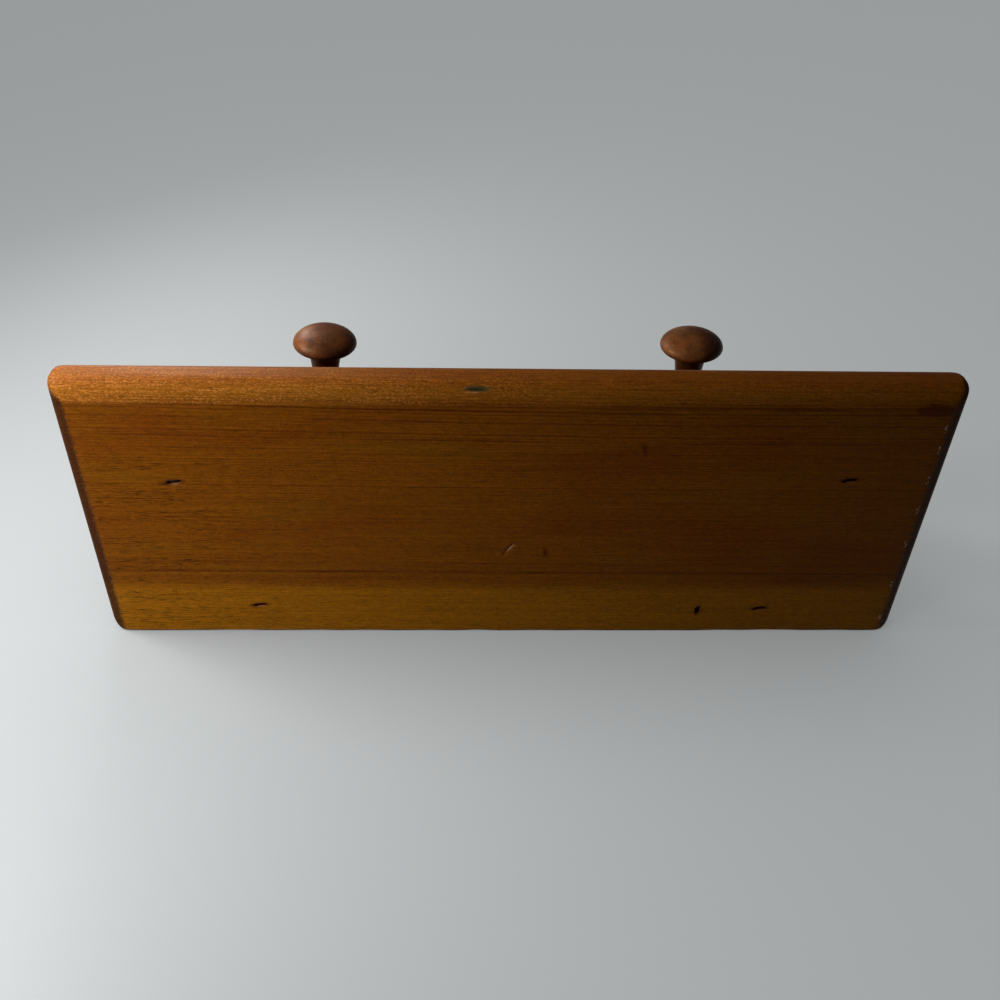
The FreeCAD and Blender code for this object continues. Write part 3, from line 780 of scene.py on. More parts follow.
@dataclass(frozen=True)
class StainedHardwood:
    """A turned hardwood peg under a patchy walnut stain, with a satin coat, and a painted highlight and
    shade.
    """

    name: str
    middle: Vector
    seed: float = 0.0
    brown: Colour = (108, 66, 37)
    # The stain's dark blotches, and painted shade on each peg's left half.
    dark: Colour = (45, 20, 9)
    rust: Colour = (96, 44, 20)
    moss: Colour = (100, 72, 34)
    # The pores' colour, and painted shade behind the head.
    pore_and_shade: Colour = (36, 16, 9)
    # A pale colour for scuffs, and for a painted highlight.
    scuff_and_highlight: Colour = (176, 132, 90)

    def material(self) -> bpy.types.Material:
        """Builds the peg's material.

        Returns:
            The material.
        """
        shader = Shader(self.name)
        place = shader.vector_math("SUBTRACT", shader.place(), tuple(self.middle))
        loose = shader.vector_math("ADD", place, (self.seed * 17.3, self.seed * 29.1, self.seed * 5.9))
        blotch = shader.cloud(loose, (8.0, 11.0, 8.0), 3.0)
        fine = shader.cloud(loose, (0.45, 3.5, 0.45), 2.0)
        colour = self.stain(shader, loose, blotch, fine)
        pores = shader.step(shader.cloud(loose, (0.22, 2.4, 0.22), 1.0), 0.66, 0.78)
        colour = shader.mix(colour, self.pore_and_shade, pores * 0.6)
        colour = self.wear(shader, colour, place, loose, blotch)
        turned = shader.cloud(loose, (30.0, 0.5, 30.0), 1.0)
        normal = shader.bump(0.5 * turned + 0.4 * fine - 0.5 * pores, 0.05)
        return shader.surface({
            "Base Color": colour, "Roughness": 0.42 + 0.2 * (blotch - 0.5), "Normal": normal,
            "Specular IOR Level": 0.24, "Specular Tint": linear((255, 205, 160)),
        })

    def stain(self, shader: Shader, loose: Socket, blotch: Socket, fine: Socket) -> Socket:
        """Gives the stained wood's colour, patchy and streaked along the peg.

        Args:
            shader: the material's nodes.
            loose: the place along the grain, moved for this board's noise.
            blotch: the stain's blotches, from 0 to 1.
            fine: the fine streaks, from 0 to 1.

        Returns:
            The colour.
        """
        streak = shader.cloud(loose, (1.5, 14.0, 1.5), 2.0)
        colour = shader.mix(self.brown, self.dark, shader.step(blotch, 0.4, 0.68) * 0.7)
        tint = shader.cloud(shader.vector_math("ADD", loose, (31.0, 3.0, 11.0)), (7.0, 9.0, 7.0), 2.0)
        colour = shader.mix(colour, self.rust, shader.step(tint, 0.5, 0.7) * 0.6)
        colour = shader.mix(colour, self.moss, (1 - shader.step(tint, 0.3, 0.46)) * 0.4)
        mottle = shader.cloud(loose, (1.2, 1.6, 1.2), 3.0)
        uneven = 0.8 * (streak - 0.5) + 0.6 * (fine - 0.5) + 1.1 * (mottle - 0.5)
        return shader.brighten(colour, 1 + uneven)

    def wear(self, shader: Shader, colour: Socket, place: Socket, loose: Socket,
             blotch: Socket) -> Socket:
        """Adds the rings on the head, the scuffs, a painted highlight on the head's right, painted shade on
        each peg's left half and on what faces back, and the dark stain with painted shade behind the head.

        Args:
            shader: the material's nodes.
            colour: the colour so far.
            place: the place on the piece.
            loose: the place along the grain, moved for this board's noise.
            blotch: the stain's blotches, from 0 to 1.

        Returns:
            The colour with its wear.
        """
        facing = shader.split(shader.facing())[1] * -1
        grown = shader.spot(place, Vector((1.4, 0.0, 0.8)), Vector((1.15, 1e4, 1.15)))
        rings = shader.math("SINE", grown * 6.0 + 3.0 * blotch)
        colour = shader.brighten(colour, 1 - 0.1 * shader.step(facing, 0.75, 0.97) * (rings + 1))
        worn = shader.cloud(loose, (1.1, 0.8, 0.7), 2.0)
        scuffs = shader.step(worn, 0.64, 0.74) * shader.step(facing, 0.1, 0.5)
        colour = shader.mix(colour, self.scuff_and_highlight, scuffs * 0.35)
        # A paler patch on the head's right and lower side: a painted highlight.
        painted_highlight = shader.spot(place, Vector((7.0, 0.0, -4.0)), Vector((8.0, 1e4, 6.0))) + (worn - 0.5)
        colour = shader.mix(colour, self.scuff_and_highlight, (1 - shader.step(painted_highlight, 0.1, 1.0)) * 0.2)
        # Each peg's left half is darker: painted shade.
        painted_shade_left = 1 - shader.step(shader.split(place)[0] + 6.0 * (blotch - 0.5), -9.0, 3.0)
        colour = shader.mix(colour, self.dark, painted_shade_left * 0.55)
        # What faces back, away from the front, is darker: painted shade.
        painted_shade_back = 1 - shader.step(facing, -0.1, 0.55)
        colour = shader.brighten(colour, 1 - 0.48 * painted_shade_back)
        # Behind the head the wood is darker: dark stain and painted shade.
        stain_and_shade_behind_head = shader.band(shader.split(place)[1], -75.0, 14.0)
        return shader.mix(colour, self.pore_and_shade, stain_and_shade_behind_head * 0.6)


@dataclass(frozen=True)
class DarkWire:
    """The staples' and the nail's wire, dulled by stain and a little rust."""

    name: str = "dark_wire"
    steel: Colour = (42, 38, 35)
    rust: Colour = (30, 16, 9)

    def material(self) -> bpy.types.Material:
        """Builds the wire's material.

        Returns:
            The material.
        """
        shader = Shader(self.name)
        place = shader.place()
        patch = shader.cloud(place, (1.3, 1.3, 1.3), 3.0)
        share = shader.step(patch, 0.42, 0.62)
        drawn = shader.cloud(place, (0.12, 0.12, 0.9), 1.0)
        colour = shader.brighten(shader.mix(self.steel, self.rust, share), 0.8 + 0.4 * drawn)
        normal = shader.bump(patch + 0.4 * drawn, 0.03)
        return shader.surface({
            "Base Color": colour, "Metallic": 1 - share, "Roughness": 0.45 + 0.35 * share,
            "Normal": normal,
        })


@dataclass(frozen=True)
class ZincPlating:
    """Zinc plate with its faint spangle, and fine scratches from handling."""

    name: str
    bright: Colour = (205, 204, 200)
    dull: Colour = (172, 172, 170)
    smudge: Colour = (120, 116, 106)

    def material(self) -> bpy.types.Material:
        """Builds the plating's material.

        Returns:
            The material.
        """
        shader = Shader(self.name)
        place = shader.place()
        sockets = {"Vector": place, "Scale": 0.55}
        spangle = shader.node("ShaderNodeTexVoronoi", sockets=sockets, output="Color")
        shade = shader.split(spangle)[0]
        cloud = shader.cloud(place, (6.0, 6.0, 6.0), 3.0)
        colour = shader.mix(self.bright, self.dull, shade * 0.7)
        colour = shader.mix(colour, self.smudge, shader.step(cloud, 0.5, 0.75) * 0.5)
        scratch = shader.cloud(place, (5.0, 5.0, 0.12), 2.0)
        lines = shader.step(scratch, 0.62, 0.72)
        roughness = 0.3 + 0.16 * cloud + 0.12 * lines
        normal = shader.bump(0.3 * shade + 0.4 * lines, 0.01)
        return shader.surface({
            "Base Color": colour, "Metallic": 1.0, "Roughness": roughness, "Normal": normal,
        })


# Bench work


def arc(middle: Sequence[float], radius: float, start: float, end: float,
        steps: int) -> list[tuple[float, float]]:
    """Gives points along an arc in a plane.

    Args:
        middle: the arc's middle.
        radius: its radius.
        start: the angle of its first point, in degrees.
        end: the angle of its last point, in degrees.
        steps: how many straight steps it has.

    Returns:
        The points, both ends included.
    """
    angles = [math.radians(start + (end - start) * i / steps) for i in range(steps + 1)]
    return [(middle[0] + radius * math.cos(a), middle[1] + radius * math.sin(a)) for a in angles]


def stadium(width: float, low: float, high: float, steps: int = 12) -> list[tuple[float, float]]:
    """Gives the outline of an upright slot with round ends, as (x, z) points.

    Args:
        width: the slot's width.
        low: its lowest point.
        high: its highest point.
        steps: how many straight steps each round end has.

    Returns:
        The outline's points.
    """
    radius = width / 2
    upper = arc((0.0, high - radius), radius, 0, 180, steps)
    lower = arc((0.0, low + radius), radius, 180, 360, steps)
    return upper + lower


class Workpiece:
    """A mesh on the bench, in millimetres in the part's frame."""

    def __init__(self) -> None:
        """Starts with an empty mesh."""
        self.mesh = bmesh.new()

    def everything(self) -> list:
        """Gives all the mesh's vertices, edges and faces."""
        return self.mesh.verts[:] + self.mesh.edges[:] + self.mesh.faces[:]

    def block(self, low: Vector, high: Vector) -> "Workpiece":
        """Adds a plain block between two corners.

        Args:
            low: its lowest corner.
            high: its highest corner.

        Returns:
            The workpiece itself.
        """
        made = bmesh.ops.create_cube(self.mesh, size=1.0)["verts"]
        bmesh.ops.scale(self.mesh, vec=high - low, verts=made)
        bmesh.ops.translate(self.mesh, vec=(low + high) / 2, verts=made)
        return self

    def slab(self, outline: Iterable[Vector], way: Vector) -> "Workpiece":
        """Adds a flat face with this outline and pulls it out into a solid.

        Args:
            outline: the face's corners, in order.
            way: how far the face is pulled, and in which direction.

        Returns:
            The workpiece itself.
        """
        face = self.mesh.faces.new([self.mesh.verts.new(point) for point in outline])
        pulled = bmesh.ops.extrude_face_region(self.mesh, geom=[face])["geom"]
        moved = [v for v in pulled if isinstance(v, bmesh.types.BMVert)]
        bmesh.ops.translate(self.mesh, vec=way, verts=moved)
        bmesh.ops.recalc_face_normals(self.mesh, faces=self.mesh.faces[:])
        return self

    def lathe(self, profile: Sequence[tuple[float, float]], steps: int) -> "Workpiece":
        """Turns a profile of (radius, height) points about Z into a closed solid.

        Args:
            profile: the points, from one end on the axis to the other.
            steps: how many steps a full turn has.

        Returns:
            The workpiece itself.
        """
        points = [self.mesh.verts.new((radius, 0, height)) for radius, height in profile]
        lines = [self.mesh.edges.new(pair) for pair in zip(points, points[1:])]
        bmesh.ops.spin(self.mesh, geom=points + lines, cent=(0, 0, 0), axis=Z_AXIS,
                       angle=math.tau, steps=steps, use_merge=True)
        bmesh.ops.remove_doubles(self.mesh, verts=self.mesh.verts[:], dist=1e-4)
        bmesh.ops.recalc_face_normals(self.mesh, faces=self.mesh.faces[:])
        return self

    def score(self, axis: int, places: Iterable[float]) -> None:
        """Draws edges across the faces at these places along one axis.

        Args:
            axis: 0, 1 or 2, for X, Y or Z.
            places: where the edges run.
        """
        for place in places:
            bmesh.ops.bisect_plane(self.mesh, geom=self.everything(), dist=1e-4,
                                   plane_co=AXES[axis] * place, plane_no=AXES[axis])

    def saw(self, place: Vector, outward: Vector) -> None:
        """Saws off what lies beyond a plane and closes the cut.

        Args:
            place: a point on the plane.
            outward: the plane's normal, on the waste side.
        """
        cut = bmesh.ops.bisect_plane(self.mesh, geom=self.everything(), dist=1e-5, plane_co=place,
                                     plane_no=outward, clear_outer=True)["geom_cut"]
        rim = [e for e in cut if isinstance(e, bmesh.types.BMEdge)]
        if rim:
            bmesh.ops.contextual_create(self.mesh, geom=rim)

    def ease(self, chosen: Callable[[bmesh.types.BMEdge], bool], width: float, segments: int) -> None:
        """Rounds the edges that a test picks.

        Args:
            chosen: tells whether an edge is rounded.
            width: how far the rounding reaches.
            segments: how many flats it has.
        """
        edges = [e for e in self.mesh.edges if chosen(e)]
        bmesh.ops.bevel(self.mesh, geom=edges, offset=width, offset_type="OFFSET", segments=segments,
                        profile=0.5, affect="EDGES", material=-1, clamp_overlap=True)

    def ease_sharp(self, width: float, segments: int, angle: float = 30.0) -> None:
        """Rounds every edge that turns by more than an angle in degrees."""
        self.ease(lambda e: len(e.link_faces) == 2 and e.calc_face_angle() > math.radians(angle),
                  width, segments)

    def turn(self, matrix: Matrix) -> "Workpiece":
        """Moves and turns the whole mesh."""
        bmesh.ops.transform(self.mesh, matrix=matrix, verts=self.mesh.verts[:])
        return self

    def carve(self, tool: "Workpiece") -> None:
        """Takes a tool's shape out of this one.

        Args:
            tool: the shape to take out. It stays as it is.
        """
        target = self.as_object("carved")
        cutter = tool.as_object("cutter")
        modifier = target.modifiers.new("carve", "BOOLEAN")
        modifier.operation = "DIFFERENCE"
        modifier.solver = "EXACT"
        modifier.object = cutter
        depsgraph = bpy.context.evaluated_depsgraph_get()
        result = bpy.data.meshes.new_from_object(target.evaluated_get(depsgraph))
        self.mesh.clear()
        self.mesh.from_mesh(result)
        for used in (target, cutter):
            mesh = used.data
            bpy.data.objects.remove(used)
            bpy.data.meshes.remove(mesh)
        bpy.data.meshes.remove(result)

    def as_object(self, name: str) -> bpy.types.Object:
        """Puts a copy of the mesh in the scene.

        Args:
            name: the new object's name.

        Returns:
            The new object, which has a mesh of its own.
        """
        mesh = bpy.data.meshes.new(name)
        self.mesh.to_mesh(mesh)
        made = bpy.data.objects.new(name, mesh)
        bpy.context.scene.collection.objects.link(made)
        return made

    def finish(self, node: str, slot: str, material: bpy.types.Material,
               sharp: float = 32.0) -> bpy.types.Object:
        """Makes the mesh a piece of the part, in place of its CAD node.

        Args:
            node: the CAD node that the piece stands for.
            slot: the record's material slot; not used.
            material: the piece's material.
            sharp: edges that turn by more than this, in degrees, stay sharp.

        Returns:
            The finished object.
        """
        self.mesh.normal_update()
        for face in self.mesh.faces:
            face.smooth = True
        for edge in self.mesh.edges:
            edge.smooth = len(edge.link_faces) == 2 and edge.calc_face_angle() < math.radians(sharp)
        bmesh.ops.scale(self.mesh, vec=(METRES, METRES, METRES), verts=self.mesh.verts[:])
        piece = self.as_object(node + "_piece")
        self.mesh.free()
        piece.data.materials.append(material)
        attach(piece, "root")
        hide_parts(node)
        LOG.info("%s: %d faces", piece.name, len(piece.data.polygons))
        return piece


# Pieces


@dataclass
class Dent:
    """A knock in the shelf's top, as a groove between two points."""

    start: tuple[float, float]
    end: tuple[float, float]
    width: float
    depth: float

    def depth_at(self, x: float, y: float) -> float:
        """Gives how far the top is pressed in at a place.

        Args:
            x: the place from left to right.
            y: the place from front to back.

        Returns:
            The depth, or 0 beside the dent.
        """
        start, end, spot = Vector(self.start), Vector(self.end), Vector((x, y))
        along = end - start
        share = max(0.0, min(1.0, (spot - start).dot(along) / along.length_squared))
        away = (spot - start - along * share).length / self.width
        return self.depth * (1 - away * away) ** 2 if away < 1 else 0.0


@dataclass
class ShelfBoard:
    """The shelf: a board with its front and its ends rounded over, top and bottom."""

    slot: str = "stained_softwood"
    node: str = "shelf_board"
    round_over: float = 7.9
    front_corner: float = 2.9
    corner_blend: float = 6.0
    back_corner: float = 7.5
    round_steps: int = 10
    cell: float = 4.0
    fine_cell: float = 0.36
    wobble: float = 0.16
    wobble_wave: float = 35.0
    arris: float = 0.5
    blunt_share: float = 0.45
    blunt_wave: float = 14.0
    slit_depth: float = 2.2
    slit_turn: float = 6.0
    slit_half_sizes: tuple[float, float, float] = (3.3, 1.1, 40.0)
    nail_turn: float = -6.0
    nail_half_sizes: tuple[float, float, float] = (1.2, 2.3, 40.0)
    flare_depth: float = 0.2
    flare_height: float = 1.2
    flare_scale: tuple[float, float, float] = (1.5, 2.2, 1.0)
    nail_node: str = "shelf_nail"

    def __post_init__(self) -> None:
        """Reads the board's corners from the frame and lists its dents."""
        self.low, self.high = cad_box(self.node)
        self.dents = [
            Dent((1.75, -43.7), (-1.55, -48.6), 1.7, 0.3),
            Dent((-14.4, -41.6), (-14.8, -46.8), 1.2, 0.16),
            Dent((-47.5, -99.8), (-49.8, -92.9), 1.3, 0.12),
        ]
        self.staples = [f"shelf_staple_{on}_{side}" for on in ("bracket", "rail") for side in SIDES]

    def hole_middle(self, node: str) -> Vector:
        """Gives the middle of a fastener's head, at the height of the shelf's top."""
        low, high = cad_box(node)
        return Vector(((low.x + high.x) / 2, (low.y + high.y) / 2, self.high.z))

    def holes(self) -> tuple[tuple[Vector, Vector, float], ...]:
        """Gives each hole's middle, half sizes and turn, for the board's material.

        Returns:
            The slits of the staples, then the nail's hole.
        """
        half_sizes = Vector(self.slit_half_sizes)
        slits = [(self.hole_middle(n), half_sizes, self.slit_turn) for n in self.staples]
        nail = (self.hole_middle(self.nail_node), Vector(self.nail_half_sizes), self.nail_turn)
        return (*slits, nail)

    def drop(self, x: float, y: float) -> float:
        """Gives how far the round-over has fallen at a place, with soft corners in plan.

        Args:
            x: the place from left to right.
            y: the place from front to back.

        Returns:
            The fall, from 0 to the round-over's radius.
        """
        radius = self.round_over
        from_side = max(0.0, radius - min(x - self.low.x, self.high.x - x)) / radius
        from_front = max(0.0, radius - (y - self.low.y)) / radius
        blend = self.corner_blend
        reach = (from_side ** blend + from_front ** blend) ** (1 / blend)
        if reach <= 0:
            return 0.0
        place = Vector((x / self.wobble_wave, y / self.wobble_wave, 2.0))
        wave = self.wobble * (1 + noise.noise(place)) / 2
        reach = min(1.0, reach + wave / radius * (1 - reach))
        return radius * (1 - math.sqrt(1 - reach * reach))

    def steps_in(self) -> list[float]:
        """Gives the distances from an edge at which the round-over has its lines."""
        turns = [math.radians(90 * i / self.round_steps) for i in range(1, self.round_steps + 1)]
        return [self.round_over * (1 - math.cos(t)) for t in turns]

    def lines(self, low: float, high: float, rounded_high: bool) -> list[float]:
        """Gives the places of the board's grid lines along one axis.

        Args:
            low: the board's lower end on the axis.
            high: its higher end.
            rounded_high: whether the higher end has a round-over too.

        Returns:
            The places.
        """
        first = low + self.round_over
        last = high - (self.round_over if rounded_high else 0.0)
        count = round((last - first) / self.cell)
        places = [low + inset for inset in self.steps_in()]
        places += [first + (last - first) * i / count for i in range(1, count)]
        if rounded_high:
            places += [high - inset for inset in self.steps_in()]
        return places

    def make(self) -> bpy.types.Object:
        """Builds the board and dresses it.

        Returns:
            The finished shelf.
        """
        board = Workpiece().block(self.low, self.high)
        board.score(0, self.lines(self.low.x, self.high.x, True) + self.dent_lines(0))
        board.score(1, [*self.lines(self.low.y, self.high.y, False), *self.dent_lines(1),
                        self.high.y - self.arris])
        board.score(2, [self.high.z - self.arris, self.low.z + self.arris])
        self.blunt_back(board)
        middle = (self.low.z + self.high.z) / 2
        for vertex in board.mesh.verts:
            fall = self.drop(vertex.co.x, vertex.co.y)
            vertex.co.z += -fall if vertex.co.z > middle else fall
        self.round_corners(board)
        self.press_dents(board)
        for index, node in enumerate(self.staples):
            board.carve(self.slit(node, index))
        board.carve(self.nail_hole())
        finish = ShelfSoftwood(
            name="shelf_softwood", grain=Grain.SIDEWAYS_FLAT, pith=(-165.0, 23.5),
            sapwood_from=148.5, front=self.low.y, back=self.high.y, top=self.high.z, holes=self.holes())
        return board.finish(self.node, self.slot, finish.material())

    def round_corners(self, board: Workpiece) -> None:
        """Rounds the board's corners, as seen from above, with flat strokes of a saw.

        Args:
            board: the board on the bench.
        """
        corners = [(self.back_corner, self.high.y - self.back_corner, 1, 8),
                   (self.front_corner, self.low.y + self.front_corner, -1, 6)]
        for radius, middle_y, way, strokes in corners:
            for sign in SIDES.values():
                middle = Vector((sign * (self.high.x - radius), middle_y, 0))
                for stroke in range(strokes):
                    angle = math.radians(90 * (stroke + 0.5) / strokes)
                    outward = Vector((sign * math.cos(angle), way * math.sin(angle), 0))
                    board.saw(middle + outward * radius, outward)

    def dent_lines(self, axis: int) -> list[float]:
        """Gives closer grid lines across the dents along one axis.

        Args:
            axis: 0 for X or 1 for Y.

        Returns:
            The places.
        """
        places = set()
        for dent in self.dents:
            ends = (dent.start[axis], dent.end[axis])
            first = math.floor((min(ends) - dent.width) / self.fine_cell)
            last = math.ceil((max(ends) + dent.width) / self.fine_cell)
            places.update(range(first, last + 1))
        return [place * self.fine_cell for place in sorted(places)]

    def blunt_back(self, board: Workpiece) -> None:
        """Takes the sharpness off the back's upper and lower edges, by a little more or less.

        Args:
            board: the board on the bench.
        """
        for vertex in board.mesh.verts:
            at_top = vertex.co.z > self.high.z - NEAR
            if vertex.co.y > self.high.y - NEAR and (at_top or vertex.co.z < self.low.z + NEAR):
                place = Vector((vertex.co.x / self.blunt_wave, 3.0, vertex.co.z))
                off = self.arris * self.blunt_share * max(0.1, 0.6 + noise.noise(place))
                vertex.co.y -= off
                vertex.co.z += -off if at_top else off

    def press_dents(self, board: Workpiece) -> None:
        """Presses the dents into the top.

        Args:
            board: the board on the bench.
        """
        for vertex in board.mesh.verts:
            if vertex.co.z > self.high.z - NEAR:
                vertex.co.z -= max(d.depth_at(vertex.co.x, vertex.co.y) for d in self.dents)

    def slit(self, node: str, index: int) -> Workpiece:
        """Makes the cutter of one staple's slit, ragged and stepped at its right end.

        Args:
            node: the staple's CAD node.
            index: the slit's number, for its unevenness.

        Returns:
            The cutter.
        """
        outline = [(-3.05, 0.0), (-2.75, -0.55), (-1.0, -0.68), (1.2, -0.72), (1.9, -0.4), (2.3, -0.1),
                   (3.1, 0.05), (3.0, 0.5), (2.1, 0.8), (1.5, 1.0), (0.9, 0.72), (-0.4, 0.6), (-2.6, 0.5)]
        uneven = [(x + 0.22 * noise.noise(Vector((x, index, 0.0))),
                   y + 0.16 * noise.noise(Vector((x, y, index + 5.0)))) for x, y in outline]
        return self.cutter(uneven, node, self.slit_turn)

    def nail_hole(self) -> Workpiece:
        """Makes the cutter of the nail's hole, with a bump on its right side.

        Returns:
            The cutter.
        """
        outline = [(-0.75, -2.0), (0.35, -2.15), (0.8, -1.4), (1.25, -0.7), (1.1, 0.1), (0.8, 0.6),
                   (0.75, 1.8), (0.1, 2.2), (-0.7, 1.7), (-0.85, 0.2)]
        return self.cutter(outline, self.nail_node, self.nail_turn)

    def cutter(self, outline: Sequence[tuple[float, float]], node: str, turn: float) -> Workpiece:
        """Makes a cutter that flares a little at the shelf's top.

        Args:
            outline: the hole's outline, as (x, y) points round its middle.
            node: the fastener's CAD node.
            turn: the hole's turn about Z, in degrees.

        Returns:
            The cutter, in place.
        """
        tool = Workpiece()
        floor = [Vector((x, y, -self.slit_depth)) for x, y in outline]
        tool.slab(floor, Z_AXIS * (self.slit_depth - self.flare_depth))
        lid = max(tool.mesh.faces, key=lambda f: f.calc_center_median().z)
        flared = bmesh.ops.extrude_face_region(tool.mesh, geom=[lid])["geom"]
        rim = [v for v in flared if isinstance(v, bmesh.types.BMVert)]
        bmesh.ops.delete(tool.mesh, geom=[lid], context="FACES_ONLY")
        bmesh.ops.translate(tool.mesh, vec=Z_AXIS * self.flare_height, verts=rim)
        bmesh.ops.scale(tool.mesh, vec=self.flare_scale, verts=rim)
        place = self.hole_middle(node)
        return tool.turn(Matrix.Translation(place) @ Matrix.Rotation(math.radians(turn), 4, "Z"))


@dataclass
class KeyholePlate:
    """A steel plate with a keyhole, let into the rail's back and held by two screws."""

    side: str
    slot: str = "hanger_steel"
    screw_slot: str = "screw_steel"
    entry_diameter: float = 9.0
    entry_drop: float = 4.5
    slot_width: float = 4.6
    slot_reach: float = 12.2
    hole_diameter: float = 3.2
    screw_from_end: float = 5.0
    clearance: float = 0.1
    pocket_depth: float = 5.5
    pocket_margin: float = 1.0
    head_diameter: float = 5.6
    shank_diameter: float = 2.9
    screw_length: float = 12.0
    screw_point: float = 3.0
    cross_width: float = 0.9
    cross_span: float = 3.2
    cross_depth: float = 0.9
    past: float = 2.0
    edge_ease: float = 0.25
    sink_spare: float = 0.05
    head_land: float = 0.12
    head_edge: float = 0.1
    point_radius: float = 0.15
    point_blunt: float = 0.1
    turning_steps: int = 32

    def __post_init__(self) -> None:
        """Reads the plate's corners from the frame."""
        self.node = "hanger_plate_" + self.side
        self.low, self.high = cad_box(self.node)
        self.middle = Vector(((self.low.x + self.high.x) / 2, 0, (self.low.z + self.high.z) / 2))
        self.half_length = (self.high.z - self.low.z) / 2
        self.width = self.high.x - self.low.x
        self.thickness = self.high.y - self.low.y

    def slotted(self, outline: list[tuple[float, float]], near: float, far: float) -> Workpiece:
        """Makes a solid of an upright outline between two depths behind the plate's middle."""
        points = [self.middle + Vector((x, near, z)) for x, z in outline]
        return Workpiece().slab(points, Y_AXIS * (far - near))

    def recess(self) -> list[Workpiece]:
        """Makes the cutters of the plate's bed and of the pocket behind it.

        Returns:
            The two cutters.
        """
        reach = self.half_length + self.clearance
        bed = stadium(self.width + 2 * self.clearance, -reach, reach)
        low = -self.entry_drop - self.entry_diameter / 2 - self.pocket_margin
        high = self.slot_reach - self.entry_drop + self.pocket_margin
        pocket = stadium(self.entry_diameter + 2 * self.pocket_margin, low, high)
        return [self.slotted(bed, -self.thickness, self.past),
                self.slotted(pocket, -self.thickness - self.pocket_depth, self.past)]

    def make(self) -> None:
        """Builds the plate and its two screws."""
        plate = self.slotted(stadium(self.width, -self.half_length, self.half_length),
                             -self.thickness, 0.0)
        plate.ease_sharp(self.edge_ease, 2)
        entry_low = -self.entry_drop - self.entry_diameter / 2
        entry = stadium(self.entry_diameter, entry_low, entry_low + self.entry_diameter + NEAR, 20)
        plate.carve(self.slotted(entry, -self.thickness - self.past, self.past))
        slot = stadium(self.slot_width, -self.entry_drop, self.slot_reach - self.entry_drop, 10)
        plate.carve(self.slotted(slot, -self.thickness - self.past, self.past))
        for way in ENDS.values():
            plate.carve(self.screw_tool(way))
        plate.finish(self.node, self.slot, ZincPlating(self.node + "_zinc").material())
        for end, way in ENDS.items():
            self.screw(end, way)

    def seat(self, way: int) -> Matrix:
        """Gives the place of one screw, with +Z out of the rail's back."""
        place = self.middle + Z_AXIS * way * (self.half_length - self.screw_from_end)
        return Matrix.Translation(place) @ Matrix.Rotation(math.radians(-90), 4, "X")

    def screw_tool(self, way: int) -> Workpiece:
        """Makes the cutter of one countersunk hole.

        Args:
            way: 1 for the upper hole or -1 for the lower one.

        Returns:
            The cutter.
        """
        wide = self.head_diameter / 2 + self.past + self.sink_spare
        narrow = self.hole_diameter / 2
        cone = wide - narrow
        profile = [(0, self.past), (wide, self.past), (narrow, self.past - cone),
                   (narrow, -self.thickness - self.past), (0, -self.thickness - self.past)]
        return Workpiece().lathe(profile, self.turning_steps).turn(self.seat(way))

    def screw(self, end: str, way: int) -> None:
        """Builds one countersunk screw with a cross recess.

        Args:
            end: the end's name, upper or lower.
            way: 1 for upper or -1 for lower.
        """
        head = self.head_diameter / 2
        shank = self.shank_diameter / 2
        straight = self.screw_length - self.screw_point
        profile = [(0, 0), (head - self.head_land, 0), (head, -self.head_edge), (shank, shank - head),
                   (shank, -straight), (self.point_radius, -self.screw_length + self.point_blunt),
                   (0, -self.screw_length)]
        screw = Workpiece().lathe(profile, self.turning_steps)
        half_width, half_span = self.cross_width / 2, self.cross_span / 2
        for x, y in ((half_width, half_span), (half_span, half_width)):
            screw.carve(Workpiece().block(Vector((-x, -y, -self.cross_depth)), Vector((x, y, self.past))))
        screw.turn(self.seat(way))
        node = f"hanger_screw_{self.side}_{end}"
        screw.finish(node, self.screw_slot, ZincPlating(node + "_zinc", (196, 190, 176)).material())


@dataclass
class BackRail:
    """The rail that carries the pegs and hangs on the wall."""

    slot: str = "stained_softwood"
    node: str = "back_rail"
    lower_ease: float = 1.5
    small_ease: float = 0.35

    def make(self, pegs: Sequence["TurnedPeg"], plates: Sequence[KeyholePlate]) -> bpy.types.Object:
        """Builds the rail with its peg holes and the plates' recesses.

        Args:
            pegs: the pegs that stand in the rail.
            plates: the keyhole plates in its back.

        Returns:
            The finished rail.
        """
        low, high = cad_box(self.node)
        rail = Workpiece().block(low, high)
        rail.ease(lambda e: all(v.co.y < low.y + NEAR and v.co.z < low.z + NEAR for v in e.verts),
                  self.lower_ease, 4)
        rail.ease(lambda e: all(v.co.y > high.y - NEAR and v.co.z < low.z + NEAR for v in e.verts),
                  self.small_ease, 2)
        for peg in pegs:
            rail.carve(peg.hole())
        for plate in plates:
            for tool in plate.recess():
                rail.carve(tool)
        finish = StainedSoftwood("rail_softwood", Grain.SIDEWAYS_UPRIGHT, pith=(-30.0, 58.0), seed=1.0,
                                 ring=1.5, drift=2.5)
        return rail.finish(self.node, self.slot, finish.material())


